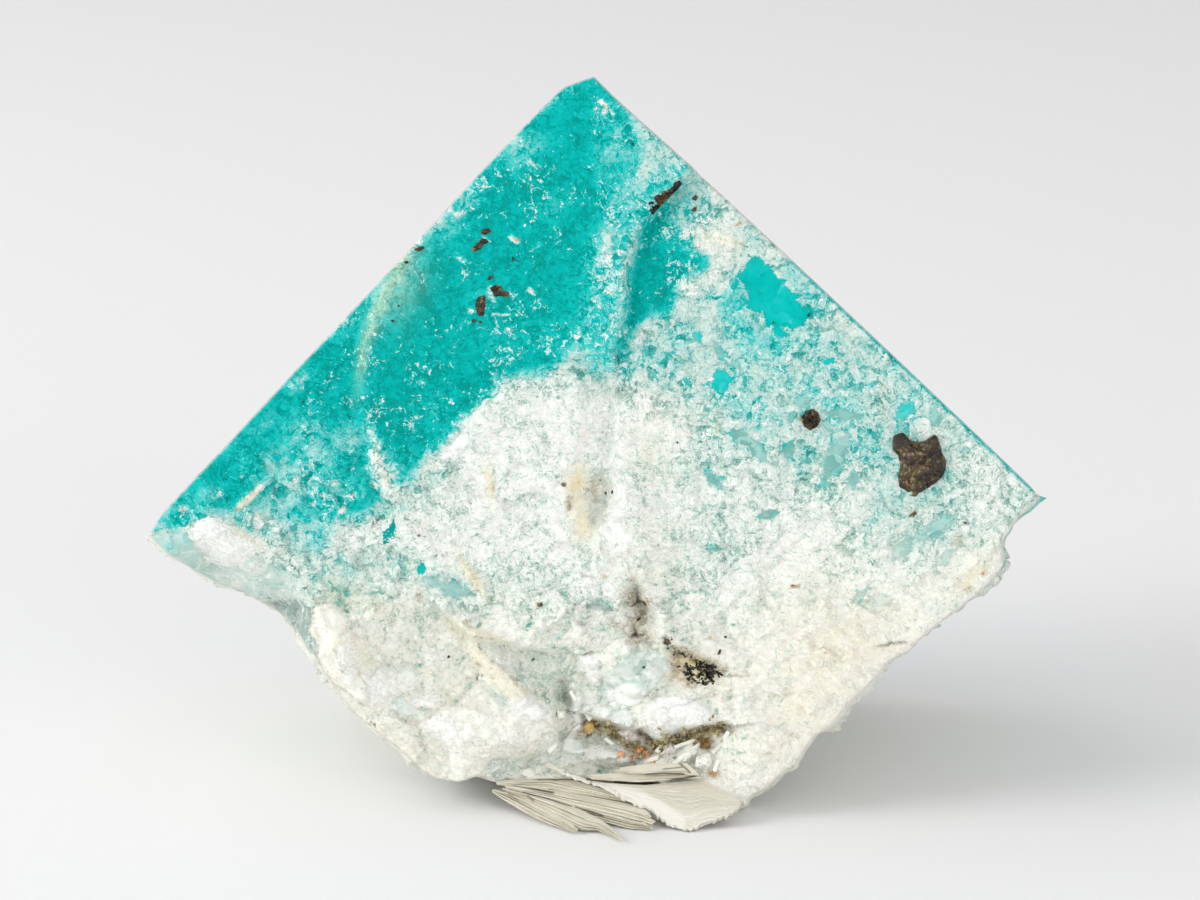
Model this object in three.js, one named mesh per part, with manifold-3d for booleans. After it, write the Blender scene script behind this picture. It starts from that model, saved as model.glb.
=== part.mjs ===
// Rough amazonite: a cleaved feldspar block that stands on one corner, with its mica book and dark grains.
// Units are millimetres. +X runs along the long diagonal, +Y runs away from the hackly front face, +Z is up.
// The origin is the bottom centre of the whole specimen's box.

import * as THREE from 'three';
import { mergeVertices } from 'three/addons/utils/BufferGeometryUtils.js';
import ManifoldModule from 'manifold-3d';

const wasm = await ManifoldModule();
wasm.setup();

// ---------------------------------------------------------------- driving sizes

const LEAN = THREE.MathUtils.degToRad(12);       // the front face leans back by this much
const FACE_CENTRE = new THREE.Vector3(0.35, -13.18, 24.16); // the middle of the front face, in the part's frame
const DEPTH = 34;                                // mean thickness behind the front face
const FRONT_CELLS = 34;                          // grid cells along each side of the front and back faces
const DEPTH_CELLS = 8;                           // grid cells from front to back
const SOCKET_GAP = 0.22;                         // clearance of a grain in its socket
const LEAF_GAP = 0.2;                            // clearance of a mica leaf in its slot
const GRAIN_BEVEL = 0.1;                         // worn edge of a grain
const CUT_DEPTH_FRONT = 0.25;                    // how much of the lowest edge is worn flat at the front
const CUT_DEPTH_BACK = 3.9;                      // and at the back
const PIVOT_HEIGHT = -9;                         // below this height the underside follows the worn flat
const CORNER_HEIGHT = -24.5;                     // height of the lowest corner, from the middle of the face
const SHRINK_HEIGHT = -2;                        // the sides shrink towards this height on the face
const TAPER = 0.02;                              // share by which the block narrows towards the back
const WORN_RIM = 0.05;                           // further narrowing over the last fifth of the depth
const BELLY = 0.9;                               // bulges of the broken lower sides
const BELLY_SIZE = 4;                            // and their width
const EDGE_SHARE = 1e-6;                         // a grid point this close to the outline lies on it

// The outline of the front face, as [across, up] from the middle of the face.
const LEFT_TIP = [-30.1, -5.7];
const TOP_TIP = [-0.4, 24.9];
const RIGHT_TIP = [29.4, -3.2];
const LOW_CORNER = [8.4, -24.5];
const UPPER_LEFT_EDGE = [LEFT_TIP, [-29.4, -4.4], [-27, -1.8], [-20, 5.6], [-11, 15.3], [-5, 21.7],
  [-2.5, 24.2], TOP_TIP];
const UPPER_RIGHT_EDGE = [TOP_TIP, [1, 23.5], [10, 15.3], [18, 7.8], [26, 0.2], RIGHT_TIP];
const LOWER_RIGHT_EDGE = [LOW_CORNER, [9.6, -23.9], [11, -22.6], [13.2, -20.6], [16.5, -16.9], [19.2, -14.1],
  [22, -12], [25, -9.8], [26.9, -8], [27.8, -6], [28.1, -4.6], RIGHT_TIP];
const LOWER_LEFT_EDGE = [LEFT_TIP, [-27, -8.2], [-24, -9.65], [-21, -11.7], [-18.6, -14.7], [-15, -18.8],
  [-12, -21.4], [-9.5, -22.25], [-7.4, -22.2], [-4, -22.1], [0, -22.1], [4, -22.3], [6.6, -23.2], LOW_CORNER];

// ---------------------------------------------------------------- small mathematics

/** A soft step from 0 at `from` to 1 at `to`, which may lie below `from`. */
function smooth(from, to, x) {
  const t = THREE.MathUtils.clamp((x - from) / (to - from), 0, 1);
  return t * t * (3 - 2 * t);
}

/** A point of the specimen from its place on the front face: across, up and out of the face. */
function place(across, up, out) {
  return new THREE.Vector3(
    FACE_CENTRE.x + across,
    FACE_CENTRE.y + up * Math.sin(LEAN) - out * Math.cos(LEAN),
    FACE_CENTRE.z + up * Math.cos(LEAN) + out * Math.sin(LEAN),
  );
}

/** The point at a share of a polyline's length. */
function along(points, share) {
  const lengths = points.slice(1).map((p, i) => Math.hypot(p[0] - points[i][0], p[1] - points[i][1]));
  let left = share * lengths.reduce((a, b) => a + b, 0);
  for (let i = 0; i < lengths.length; i += 1) {
    if (left <= lengths[i] || i === lengths.length - 1) {
      const t = Math.min(1, left / lengths[i]);
      return [0, 1].map((k) => points[i][k] + (points[i + 1][k] - points[i][k]) * t);
    }
    left -= lengths[i];
  }
  return points[points.length - 1];
}

/** Distance to a polyline, positive on its right-hand side, and how far the point lies past its ends. */
function sideOf(points, x, y) {
  let best = { distance: Infinity, side: 0, past: 0 };
  for (let i = 0; i < points.length - 1; i += 1) {
    const [ax, ay] = points[i];
    const [bx, by] = points[i + 1];
    const length = Math.hypot(bx - ax, by - ay);
    const [dx, dy] = [(bx - ax) / length, (by - ay) / length];
    const run = (x - ax) * dx + (y - ay) * dy;
    const t = THREE.MathUtils.clamp(run, 0, length);
    const distance = Math.hypot(x - ax - t * dx, y - ay - t * dy);
    if (distance < best.distance) {
      const before = i === 0 ? Math.max(0, -run) : 0;
      const after = i === points.length - 2 ? Math.max(0, run - length) : 0;
      const side = Math.sign((x - ax) * dy - (y - ay) * dx) * distance;
      best = { distance, side, past: before + after };
    }
  }
  return best;
}

/** Slow, seedless unevenness: a sum of crossed sines, about one in height. */
function unevenness(x, y, z, size) {
  const [a, b, c] = [x / size, y / size, z / size];
  return (Math.sin(2.1 * a + 1.3 * b + 0.7) + Math.sin(-1.2 * a + 2.3 * b + 1.9 * c + 2.1)
    + Math.sin(1.7 * c - 1.4 * b + 0.9 * a + 4.2) + Math.sin(3.1 * a - 2.7 * c + 1.1)) / 4;
}

// ---------------------------------------------------------------- relief of the front face

// Scarps: the right-hand side of each line stands higher by `height`, rises over `ramp` and sinks away
// again over `reach`. A negative height makes a drop.
const SCARPS = [
  { height: 0.9, ramp: 0.6, reach: 7, line: [[-13.2, -4.2], [-14, -3.4], [-15.3, 0.5], [-16.3, 5.2],
    [-15.3, 9.4], [-14, 11.5]] },
  { height: 0.8, ramp: 0.5, reach: 4, line: [[6.6, 18.5], [3.6, 15.8], [2, 12.5], [1.2, 6.5]] },
  { height: 0.8, ramp: 0.8, reach: 6, line: [[-8.6, 2.4], [-5.5, 4.4], [-2, 5.2]] },
  { height: 0.7, ramp: 0.5, reach: 4, line: [[0, -6], [0.6, -2.2], [1, 3.2]] },
  { height: -1.5, ramp: 0.7, reach: 3.5, line: [[-10.3, -11], [-7.5, -12.8], [-2, -13.4]] },
  { height: -1.9, ramp: 0.6, reach: 3, line: [[-1, -18], [1.5, -18.7], [3.9, -19.6], [8.6, -18.4]] },
];

// The shelf at the left, past which the face turns down into the receding underside.
const SHELF = [[-31, -5.2], [-27.2, -5], [-25, -5], [-22, -6.9], [-19.5, -9.2], [-18.2, -11.5], [-18.3, -13.5]];
const SHELF_DROP = 5.5;
const SHELF_WIDTH = 4.5;
const SHELF_HEIGHTS = [-17.5, -13];              // the shelf fades out between these heights
const SHELF_REACH = [-14, -17];                  // and between these places across

// The recess over the mica, which deepens downwards and to the left.
const RECESS_DEPTH = 2.6;
const RECESS_HEIGHTS = [-12, -20];
const RECESS_REACH = [9, -1];

const FRONT_UNEVENNESS = { height: 0.18, size: 5 };
const SCARP_FADE = 2;                            // how far a scarp runs on past the ends of its line

// Rounded lumps and hollows: [across, up, half width, half height, how far out].
const LUMPS = [
  [-17, -15.5, 3, 4, 1.6], [-7.5, -19.3, 4.5, 2.6, 1.6], [-13.4, -17.8, 2.6, 2.6, 0.9], [2.3, -14.4, 2.4, 2, 0.9],
  [2.7, -11, 1.1, 1.9, -1.8], [-2.6, -17.8, 1, 3, -1.5], [12, -14, 6, 5, 0.5], [-5, 12, 7, 7, 0.3],
];

/** Sum of bell-shaped rises, each [across, up, half width, half height, rise]. */
function bells(list, across, up) {
  return list.reduce((sum, [x, y, halfWidth, halfHeight, rise]) => sum
    + rise * Math.exp(-(((across - x) / halfWidth) ** 2 + ((up - y) / halfHeight) ** 2)), 0);
}

/** How far the front face stands out at a place on it. */
function frontRelief(across, up) {
  let out = FRONT_UNEVENNESS.height * unevenness(across, up, 0, FRONT_UNEVENNESS.size);
  for (const scarp of SCARPS) {
    const { side, past } = sideOf(scarp.line, across, up);
    const fade = Math.exp(-((past / SCARP_FADE) ** 2));
    out += scarp.height * smooth(-scarp.ramp, scarp.ramp, side) * Math.exp(-Math.max(side, 0) / scarp.reach) * fade;
  }
  out += bells(LUMPS, across, up);
  const pastShelf = sideOf(SHELF, across, up).side;
  out -= SHELF_DROP * smooth(0, SHELF_WIDTH, pastShelf) * smooth(...SHELF_HEIGHTS, up)
    * smooth(...SHELF_REACH, across);
  out -= RECESS_DEPTH * smooth(...RECESS_HEIGHTS, up) * smooth(...RECESS_REACH, across);
  return out;
}

// The back: scoops as [across, up, half width, half height, depth], a ridge along a slanted line, a rim.
const BACK_SCOOPS = [[-12, -4, 9, 8, 3.2], [13, 2, 8, 9, 2.6]];
const BACK_RIDGE = { height: 1.6, slant: 0.6, middle: 1, width: 3.5 };
const BACK_RIM = { height: 2.4, from: 12, to: 24, acrossShare: 0.7, upShare: 0.8 };
const BACK_UNEVENNESS = { height: 0.8, size: 6, offset: 3 };

/** Broken back face: two shallow scoops, a diagonal ridge, a worn rim and slow unevenness. */
function backRelief(across, up) {
  const ridge = ((across + BACK_RIDGE.slant * up - BACK_RIDGE.middle) / BACK_RIDGE.width) ** 2;
  const reach = Math.abs(across) * BACK_RIM.acrossShare + Math.abs(up) * BACK_RIM.upShare;
  return bells(BACK_SCOOPS, across, up) - BACK_RIDGE.height * Math.exp(-ridge)
    + BACK_RIM.height * smooth(BACK_RIM.from, BACK_RIM.to, reach)
    + BACK_UNEVENNESS.height * unevenness(across, up, BACK_UNEVENNESS.offset, BACK_UNEVENNESS.size);
}

// ---------------------------------------------------------------- the block

/** The front face's Coons patch: p runs along the upper edges' lower-left to top, q from there down. */
function onFace(p, q) {
  const upperLeft = along(UPPER_LEFT_EDGE, p);
  const lowerRight = along(LOWER_RIGHT_EDGE, p);
  const lowerLeft = along(LOWER_LEFT_EDGE, q);
  const upperRight = along(UPPER_RIGHT_EDGE, q);
  return [0, 1].map((k) => (1 - q) * upperLeft[k] + q * lowerRight[k] + (1 - p) * lowerLeft[k] + p * upperRight[k]
    - (1 - p) * (1 - q) * LEFT_TIP[k] - p * (1 - q) * TOP_TIP[k] - (1 - p) * q * LOW_CORNER[k] - p * q * RIGHT_TIP[k]);
}

/** A point of the block: p and q across the face, back from 0 at the front to 1 at the back. */
function inBlock(p, q, back) {
  let [across, up] = onFace(p, q);
  const front = frontRelief(across, up);
  const rear = -DEPTH + backRelief(across, up);
  const out = front + (rear - front) * back;
  const onRim = Math.min(p, 1 - p, q, 1 - q) < EDGE_SHARE;
  const onLowerSide = q > 1 - EDGE_SHARE || p < EDGE_SHARE;
  const belly = onLowerSide ? BELLY * Math.sin(Math.PI * back) * unevenness(across, up, out, BELLY_SIZE) : 0;
  const taper = TAPER * back + (onRim ? WORN_RIM * smooth(0.8, 1, back) : 0);
  const reach = Math.hypot(across, up - SHRINK_HEIGHT);
  const shrink = 1 - taper - belly / reach;
  across *= shrink;
  up = SHRINK_HEIGHT + (up - SHRINK_HEIGHT) * shrink;
  const cut = CUT_DEPTH_FRONT + (CUT_DEPTH_BACK - CUT_DEPTH_FRONT) * back;
  const lift = Math.max(0, -out * Math.tan(LEAN) - cut);
  up += lift * smooth(PIVOT_HEIGHT, CORNER_HEIGHT, up);
  return place(across, up, out);
}

/** The closed grid of the whole block, before the ground, the sockets and the slots are cut away. */
function blockGeometry() {
  const box = new THREE.BoxGeometry(1, 1, 1, FRONT_CELLS, FRONT_CELLS, DEPTH_CELLS);
  const points = box.attributes.position;
  for (let i = 0; i < points.count; i += 1) {
    const p = points.getX(i) + 0.5;
    const q = 0.5 - points.getY(i);
    const back = 0.5 - points.getZ(i);
    const point = inBlock(p, q, back);
    points.setXYZ(i, point.x, point.y, point.z);
  }
  return box;
}

// ---------------------------------------------------------------- slabs: grains and mica leaves

/**
 * A flat piece with an outline on the face. Its outer side lies at `out` plus a slope across and up, and it
 * is `thick` along its own normal. Its edges are bevelled by `bevel`, and `grow` widens it all round.
 */
function slabGeometry({ outline, out, slopeAcross = 0, slopeUp = 0, thick, bevel = 0 }, grow = 0) {
  const shape = new THREE.Shape(outline.map(([x, y]) => new THREE.Vector2(x, y)));
  const edge = bevel + grow;
  const body = new THREE.ExtrudeGeometry(shape, {
    depth: thick - 2 * bevel,
    bevelEnabled: edge > 0,
    bevelThickness: edge,
    bevelSize: edge,
    bevelOffset: -bevel,
    bevelSegments: 1,
    curveSegments: 4,
  });
  const normal = new THREE.Vector3(-slopeAcross, -slopeUp, 1).normalize();
  const points = body.attributes.position;
  for (let i = 0; i < points.count; i += 1) {
    const x = points.getX(i);
    const y = points.getY(i);
    const high = points.getZ(i) + bevel - thick;
    const level = out + slopeAcross * x + slopeUp * y;
    const point = place(x + normal.x * high, y + normal.y * high, level + normal.z * high);
    points.setXYZ(i, point.x, point.y, point.z);
  }
  return body;
}

// Grains set into the face: outlines go round the grain, `proud` is how far it stands out of the face.
const GRAINS = {
  biotite_grain_right: {
    outline: [[19.7, 0.9], [20.3, 1.1], [20.7, 0.6], [21.7, 0.6], [22.4, 0.9], [22.9, -0.5], [22.8, -1.8],
      [21.5, -2.8], [20.6, -2.9], [19.9, -2], [19.8, -0.4]],
    proud: 0.35, thick: 1.9, bevel: GRAIN_BEVEL, kind: 'biotite',
  },
  biotite_grain_mid: {
    outline: [[13.4, 2.2], [13.9, 2.7], [14.5, 2.5], [14.7, 1.9], [14.3, 1.4], [13.7, 1.4]],
    proud: 0.25, thick: 1.1, bevel: GRAIN_BEVEL, kind: 'biotite',
  },
  biotite_blade_top: {
    outline: [[3.1, 16.3], [3.5, 15.7], [4.6, 16.8], [5.4, 17.7], [4.9, 17.95], [3.9, 17.2]],
    proud: 0.3, thick: 1.3, bevel: GRAIN_BEVEL, kind: 'biotite',
  },
  biotite_flake_1: {
    outline: [[-8.7, 13.3], [-8.1, 13.4], [-7.4, 13.9], [-7.9, 14.1], [-8.5, 13.9]],
    proud: 0.15, thick: 0.8, bevel: 0.06, kind: 'biotite',
  },
  biotite_flake_2: {
    outline: [[-7.2, 10.2], [-6.6, 10.1], [-6.1, 10.4], [-6.3, 10.9], [-7.1, 10.8]],
    proud: 0.15, thick: 0.8, bevel: 0.06, kind: 'biotite',
  },
  biotite_flake_3: {
    outline: [[-8.3, 9.2], [-7.9, 8.9], [-7.6, 9.5], [-7.7, 10.2], [-8.2, 10]],
    proud: 0.15, thick: 0.8, bevel: 0.06, kind: 'biotite',
  },
  biotite_flake_4: {
    outline: [[-8, 14.4], [-7.5, 14.4], [-7.3, 14.7], [-7.7, 14.8]],
    proud: 0.15, thick: 0.7, bevel: 0.05, kind: 'biotite',
  },
  black_cluster: {
    outline: [[5.4, -14.3], [6.2, -14], [7.3, -14.2], [8.3, -14.8], [8, -15.2], [7, -15.7], [5.9, -15.3]],
    proud: 0.35, thick: 1.7, bevel: GRAIN_BEVEL, kind: 'tourmaline',
  },
  amber_grain: {
    outline: [[-1.1, -18.5], [-0.8, -18.1], [-0.4, -18.4], [-0.4, -18.9], [-0.8, -19.2], [-1.1, -18.9]],
    proud: 0.5, thick: 1.5, bevel: GRAIN_BEVEL, kind: 'amber',
  },
  rust_grain: {
    outline: [[6.7, -19.3], [7.3, -19.3], [7.3, -19.9], [6.7, -19.9]],
    proud: 0.3, thick: 1.1, bevel: 0.08, kind: 'amber',
  },
  crevice_crystal_1: {
    outline: [[1.2, -18.9], [2, -18.7], [2.9, -19.3], [2.6, -19.7], [1.7, -19.6]],
    proud: 0.5, thick: 1.5, bevel: GRAIN_BEVEL, kind: 'quartz',
  },
  crevice_crystal_2: {
    outline: [[4.2, -19.9], [4.7, -19.6], [5.3, -19.9], [5, -20.5], [4.4, -20.4]],
    proud: 0.5, thick: 1.4, bevel: GRAIN_BEVEL, kind: 'quartz',
  },
  crevice_crystal_3: {
    outline: [[5.3, -21], [5.7, -21.1], [6.4, -20.1], [6, -20]],
    proud: 0.5, thick: 1.2, bevel: 0.08, kind: 'albite',
  },
  crevice_crystal_4: {
    outline: [[6.6, -20.5], [7.3, -20.2], [7.5, -21], [7, -21.5], [6.4, -21.2]],
    proud: 0.5, thick: 1.4, bevel: GRAIN_BEVEL, kind: 'albite',
  },
  crevice_crystal_5: {
    outline: [[-2.9, -17.5], [-2.4, -17.5], [-2.3, -18], [-2.8, -18.1]],
    proud: 0.5, thick: 1.2, bevel: 0.08, kind: 'albite',
  },
};

// Mica leaves, from the top of the book to the bottom: they slope down and forward from the slot under the
// face to the ground. The four lowest fan out to the left.
const PLATE_PLANE = { slopeAcross: -0.013, slopeUp: -1.061 };
const FAN_PLANE = { slopeAcross: -0.2075, slopeUp: -3.024, thick: 0.14 };
const LEAVES = {
  mica_leaf_2: {
    outline: [[1.4, -21.3], [3.6, -21.5], [6, -21.3], [5.8, -21], [3.4, -21]],
    out: -22.6, ...PLATE_PLANE, thick: 0.2,
  },
  mica_leaf_1: {
    outline: [[-0.6, -21.7], [2.6, -22], [5.4, -21.9], [5.3, -21.5], [2, -21.5]],
    out: -23.2, ...PLATE_PLANE, thick: 0.2,
  },
  mica_plate: {
    outline: [[-3.6, -20.95], [-2, -21.75], [0.2, -22.6], [1.6, -23.2], [3.1, -23.7], [3.9, -24.6], [4.6, -25],
      [5.3, -25.35], [5.9, -25.5], [6.8, -25], [8.2, -24.5], [8.3, -23.9], [7.6, -23.2], [6.6, -22.7],
      [5, -22.4], [2.5, -22.3], [-0.9, -21.9]],
    out: -23.78, ...PLATE_PLANE, thick: 0.25,
  },
  mica_leaf_3: {
    outline: [[-6, -22.3], [-3.4, -22.75], [0.3, -23.2], [1.6, -23.35], [1.2, -22.9], [-1, -22.2],
      [-3.3, -21.6], [-5, -21.9]],
    out: -70.2, ...FAN_PLANE,
  },
  mica_leaf_4: {
    outline: [[-6.2, -22.5], [-4.9, -22.95], [-3, -23.6], [-1.2, -24.1], [0.2, -24.5], [2, -25], [3.5, -25.1],
      [3.9, -24.8], [3, -24.1], [1.8, -23.6], [-0.5, -23.1], [-3.2, -22.6]],
    out: -71.3, ...FAN_PLANE,
  },
  mica_leaf_5: {
    outline: [[-6.4, -22.6], [-5.1, -23.15], [-3.5, -23.9], [-2.2, -24.7], [-1.2, -25.1], [-0.2, -25],
      [0.6, -25.5], [1.55, -25.85], [0.7, -25.1], [0, -24.5], [-1.8, -23.6], [-5, -22.6]],
    out: -72.4, ...FAN_PLANE,
  },
  mica_leaf_6: {
    outline: [[-7, -22.7], [-6, -23.4], [-4.9, -24], [-3.9, -24.5], [-2.9, -24.9], [-1.9, -25.3],
      [-1.4, -25.2], [-2.1, -24.6], [-3.4, -23.8], [-4.8, -23], [-6, -22.5]],
    out: -73.5, ...FAN_PLANE,
  },
};

// ---------------------------------------------------------------- solids

/** A solid from a closed geometry. */
function solidOf(geometry) {
  geometry.deleteAttribute('normal');
  geometry.deleteAttribute('uv');
  const merged = mergeVertices(geometry, 1e-4);
  const mesh = new wasm.Mesh({
    numProp: 3,
    vertProperties: new Float32Array(merged.attributes.position.array),
    triVerts: new Uint32Array(merged.index.array),
  });
  return new wasm.Manifold(mesh);
}

/** A geometry with normals from a solid. */
function geometryOf(solid) {
  const mesh = solid.getMesh();
  const geometry = new THREE.BufferGeometry();
  geometry.setAttribute('position', new THREE.BufferAttribute(new Float32Array(mesh.vertProperties), 3));
  geometry.setIndex(new THREE.BufferAttribute(new Uint32Array(mesh.triVerts), 1));
  geometry.computeVertexNormals();
  return geometry;
}

const groundBox = new THREE.BoxGeometry(200, 200, 40);
groundBox.translate(0, 0, -20);
const ground = solidOf(groundBox);

const FINISHES = {
  feldspar: { color: 0x9fd6d0, roughness: 0.6, metalness: 0 },
  mica: { color: 0xded9cc, roughness: 0.35, metalness: 0 },
  biotite: { color: 0x3a2f22, roughness: 0.4, metalness: 0 },
  tourmaline: { color: 0x15140f, roughness: 0.3, metalness: 0 },
  amber: { color: 0xc98332, roughness: 0.3, metalness: 0 },
  quartz: { color: 0xd9d4cf, roughness: 0.2, metalness: 0 },
  albite: { color: 0xf0f1ea, roughness: 0.45, metalness: 0 },
};

const specimen = new THREE.Group();

/** Adds one named piece with a material of its own. */
function addPiece(name, solid, kind) {
  const mesh = new THREE.Mesh(geometryOf(solid), new THREE.MeshStandardMaterial(FINISHES[kind]));
  mesh.name = name;
  specimen.add(mesh);
}

/** The mean of an outline's corners. */
function middleOf(outline) {
  return [0, 1].map((k) => outline.reduce((sum, corner) => sum + corner[k], 0) / outline.length);
}

/** The largest separate body of a solid. */
function mainBody(solid) {
  return solid.decompose().sort((a, b) => b.volume() - a.volume())[0];
}

let block = solidOf(blockGeometry()).subtract(ground);
for (const grain of Object.values(GRAINS)) {
  grain.out = grain.proud + frontRelief(...middleOf(grain.outline));
  block = block.subtract(solidOf(slabGeometry(grain, SOCKET_GAP)));
}
for (const leaf of Object.values(LEAVES)) {
  block = block.subtract(solidOf(slabGeometry(leaf, LEAF_GAP)));
}
addPiece('amazonite_block', mainBody(block), 'feldspar');

const above = [];
for (const [name, leaf] of Object.entries(LEAVES)) {
  let solid = solidOf(slabGeometry(leaf)).subtract(ground);
  for (const upper of above) {
    solid = solid.subtract(solidOf(slabGeometry(upper, LEAF_GAP)));
  }
  addPiece(name, mainBody(solid), 'mica');
  above.push(leaf);
}
for (const [name, grain] of Object.entries(GRAINS)) {
  addPiece(name, solidOf(slabGeometry(grain)), grain.kind);
}

export default specimen;
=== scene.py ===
"""Rough amazonite: the looks of a cleaved feldspar block with dark grains, standing on a small mica foot.

Lengths are in metres in the row frame. Shapes are first worked out in millimetres on the front face, as
`across`, `up` and `out` of the face, and are then placed in the row frame.
"""

import logging
import math
from dataclasses import dataclass
from enum import Enum

import bpy
import numpy as np
from bpy.types import Material, Node, NodeSocket, NodeTree, Object
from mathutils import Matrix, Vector


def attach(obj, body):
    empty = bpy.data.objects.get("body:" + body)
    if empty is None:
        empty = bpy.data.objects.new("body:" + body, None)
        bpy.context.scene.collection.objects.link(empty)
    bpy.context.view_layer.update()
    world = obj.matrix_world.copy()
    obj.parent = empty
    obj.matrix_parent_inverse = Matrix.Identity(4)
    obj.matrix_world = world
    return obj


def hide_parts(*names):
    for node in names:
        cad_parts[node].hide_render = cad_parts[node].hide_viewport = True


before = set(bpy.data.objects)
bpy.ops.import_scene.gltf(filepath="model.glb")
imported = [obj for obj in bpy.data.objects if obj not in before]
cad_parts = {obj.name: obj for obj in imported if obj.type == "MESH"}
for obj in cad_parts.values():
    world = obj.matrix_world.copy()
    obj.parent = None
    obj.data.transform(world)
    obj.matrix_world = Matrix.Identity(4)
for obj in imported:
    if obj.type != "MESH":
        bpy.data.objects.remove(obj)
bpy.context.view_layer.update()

LOG = logging.getLogger("specimen")
MM = 0.001
TURN = 2 * math.pi
TABLE_ROWS = 1024
TABLE_MASK = TABLE_ROWS - 1
Array = np.ndarray
Colour = tuple[float, float, float, float]
Points2 = tuple[tuple[float, float], ...]


# ---- mathematics


def smooth(start: float, end: float, value: Array) -> Array:
    """A soft step of value from 0 at start to 1 at end, which may lie below start."""
    t = np.clip((value - start) / (end - start), 0.0, 1.0)
    return t * t * (3.0 - 2.0 * t)


def lattice_rows(shuffle: Array, corners: Array) -> Array:
    """A random table row for each lattice corner: one shuffle after another for each part of its place."""
    last = shuffle[corners[:, 2] & TABLE_MASK]
    return shuffle[(corners[:, 0] * 73 + shuffle[(corners[:, 1] * 37 + last) & TABLE_MASK]) & TABLE_MASK]


def gradient_noise(points: Array, seed: int) -> Array:
    """Smooth random values of about -1 to 1 in space.

    Every corner of a unit lattice has a random unit vector. A point's value is the dot product of its offset
    from each of the eight corners round it with the corner's vector, blended with a fifth-order fade.

    Args:
        points: (n, 3) places, in units of the noise's wavelength.
        seed: chooses the pattern.

    Returns:
        (n,) values.
    """
    generator = np.random.default_rng(seed)
    table = generator.normal(size=(TABLE_ROWS, 3))
    table /= np.linalg.norm(table, axis=1, keepdims=True)
    shuffle = generator.permutation(TABLE_ROWS)
    cell = np.floor(points).astype(np.int64)
    offset = points - cell
    fade = offset**3 * (offset * (offset * 6.0 - 15.0) + 10.0)
    total = np.zeros(len(points))
    for corner in range(8):
        step = np.array([corner & 1, (corner >> 1) & 1, (corner >> 2) & 1])
        dot = np.einsum("ij,ij->i", table[lattice_rows(shuffle, cell + step)], offset - step)
        total += np.prod(np.where(step == 1, fade, 1.0 - fade), axis=1) * dot
    return total * 1.6


def fractal(points: Array, size: float, octaves: int, seed: int, ridged: bool = False) -> Array:
    """A sum of gradient noises, each of half the wavelength and half the height of the one before.

    Args:
        points: (n, 3) places in millimetres.
        size: the longest wavelength in millimetres.
        octaves: how many noises are summed.
        seed: chooses the pattern.
        ridged: folds each noise to 1 - 2|n|, which gives sharp crests.

    Returns:
        (n,) values of about -1 to 1.
    """
    total = np.zeros(len(points))
    height = 1.0
    for octave in range(octaves):
        value = gradient_noise(points / size * 2**octave, seed + octave)
        total += height * (1.0 - 2.0 * np.abs(value) if ridged else value)
        height *= 0.5
    return total / (2.0 - 2.0 * height)


def facets(points: Array, size: float, seed: int, tilt: float = 1.0) -> Array:
    """Small tilted crystal faces: each cell round a random lattice point carries a plane of its own slope.

    Args:
        points: (n, 3) places in millimetres.
        size: mean width of a face in millimetres.
        seed: chooses the pattern.
        tilt: slope of the faces, as a share of their width.

    Returns:
        (n,) heights, in units of size.
    """
    generator = np.random.default_rng(seed)
    jitter = generator.random((TABLE_ROWS, 3))
    slopes = generator.normal(size=(TABLE_ROWS, 4)) * tilt
    shuffle = generator.permutation(TABLE_ROWS)
    scaled = points / size
    cell = np.floor(scaled).astype(np.int64)
    nearest = np.full(len(points), np.inf)
    height = np.zeros(len(points))
    for step in np.ndindex(3, 3, 3):
        corners = cell + np.array(step) - 1
        rows = lattice_rows(shuffle, corners)
        offset = scaled - corners - jitter[rows]
        distance = np.einsum("ij,ij->i", offset, offset)
        closer = distance < nearest
        nearest = np.where(closer, distance, nearest)
        plane = np.einsum("ij,ij->i", offset, slopes[rows, :3]) + 0.3 * slopes[rows, 3]
        height = np.where(closer, plane, height)
    return height


def side_of(line: Points2, across: Array, up: Array) -> tuple[Array, Array]:
    """How far points lie to the right of a polyline.

    Args:
        line: corners of the polyline, in millimetres.
        across: places of the points.
        up: heights of the points.

    Returns:
        The distance to the line, positive on its right-hand side, and how far the point lies past its ends.
    """
    nearest = np.full(across.shape, np.inf)
    side = np.zeros(across.shape)
    past = np.zeros(across.shape)
    last = len(line) - 2
    for index, (start, end) in enumerate(zip(line[:-1], line[1:])):
        length = math.hypot(end[0] - start[0], end[1] - start[1])
        run_x, run_y = (end[0] - start[0]) / length, (end[1] - start[1]) / length
        off_x, off_y = across - start[0], up - start[1]
        run = off_x * run_x + off_y * run_y
        held = np.clip(run, 0.0, length)
        distance = np.hypot(off_x - held * run_x, off_y - held * run_y)
        turned = off_x * run_y - off_y * run_x
        closer = distance < nearest - 1e-9
        nearest = np.where(closer, distance, nearest)
        side = np.where(closer, np.where(turned >= 0.0, distance, -distance), side)
        before = np.maximum(-run, 0.0) if index == 0 else 0.0
        after = np.maximum(run - length, 0.0) if index == last else 0.0
        past = np.where(closer, before + after, past)
    return side, past


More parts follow.
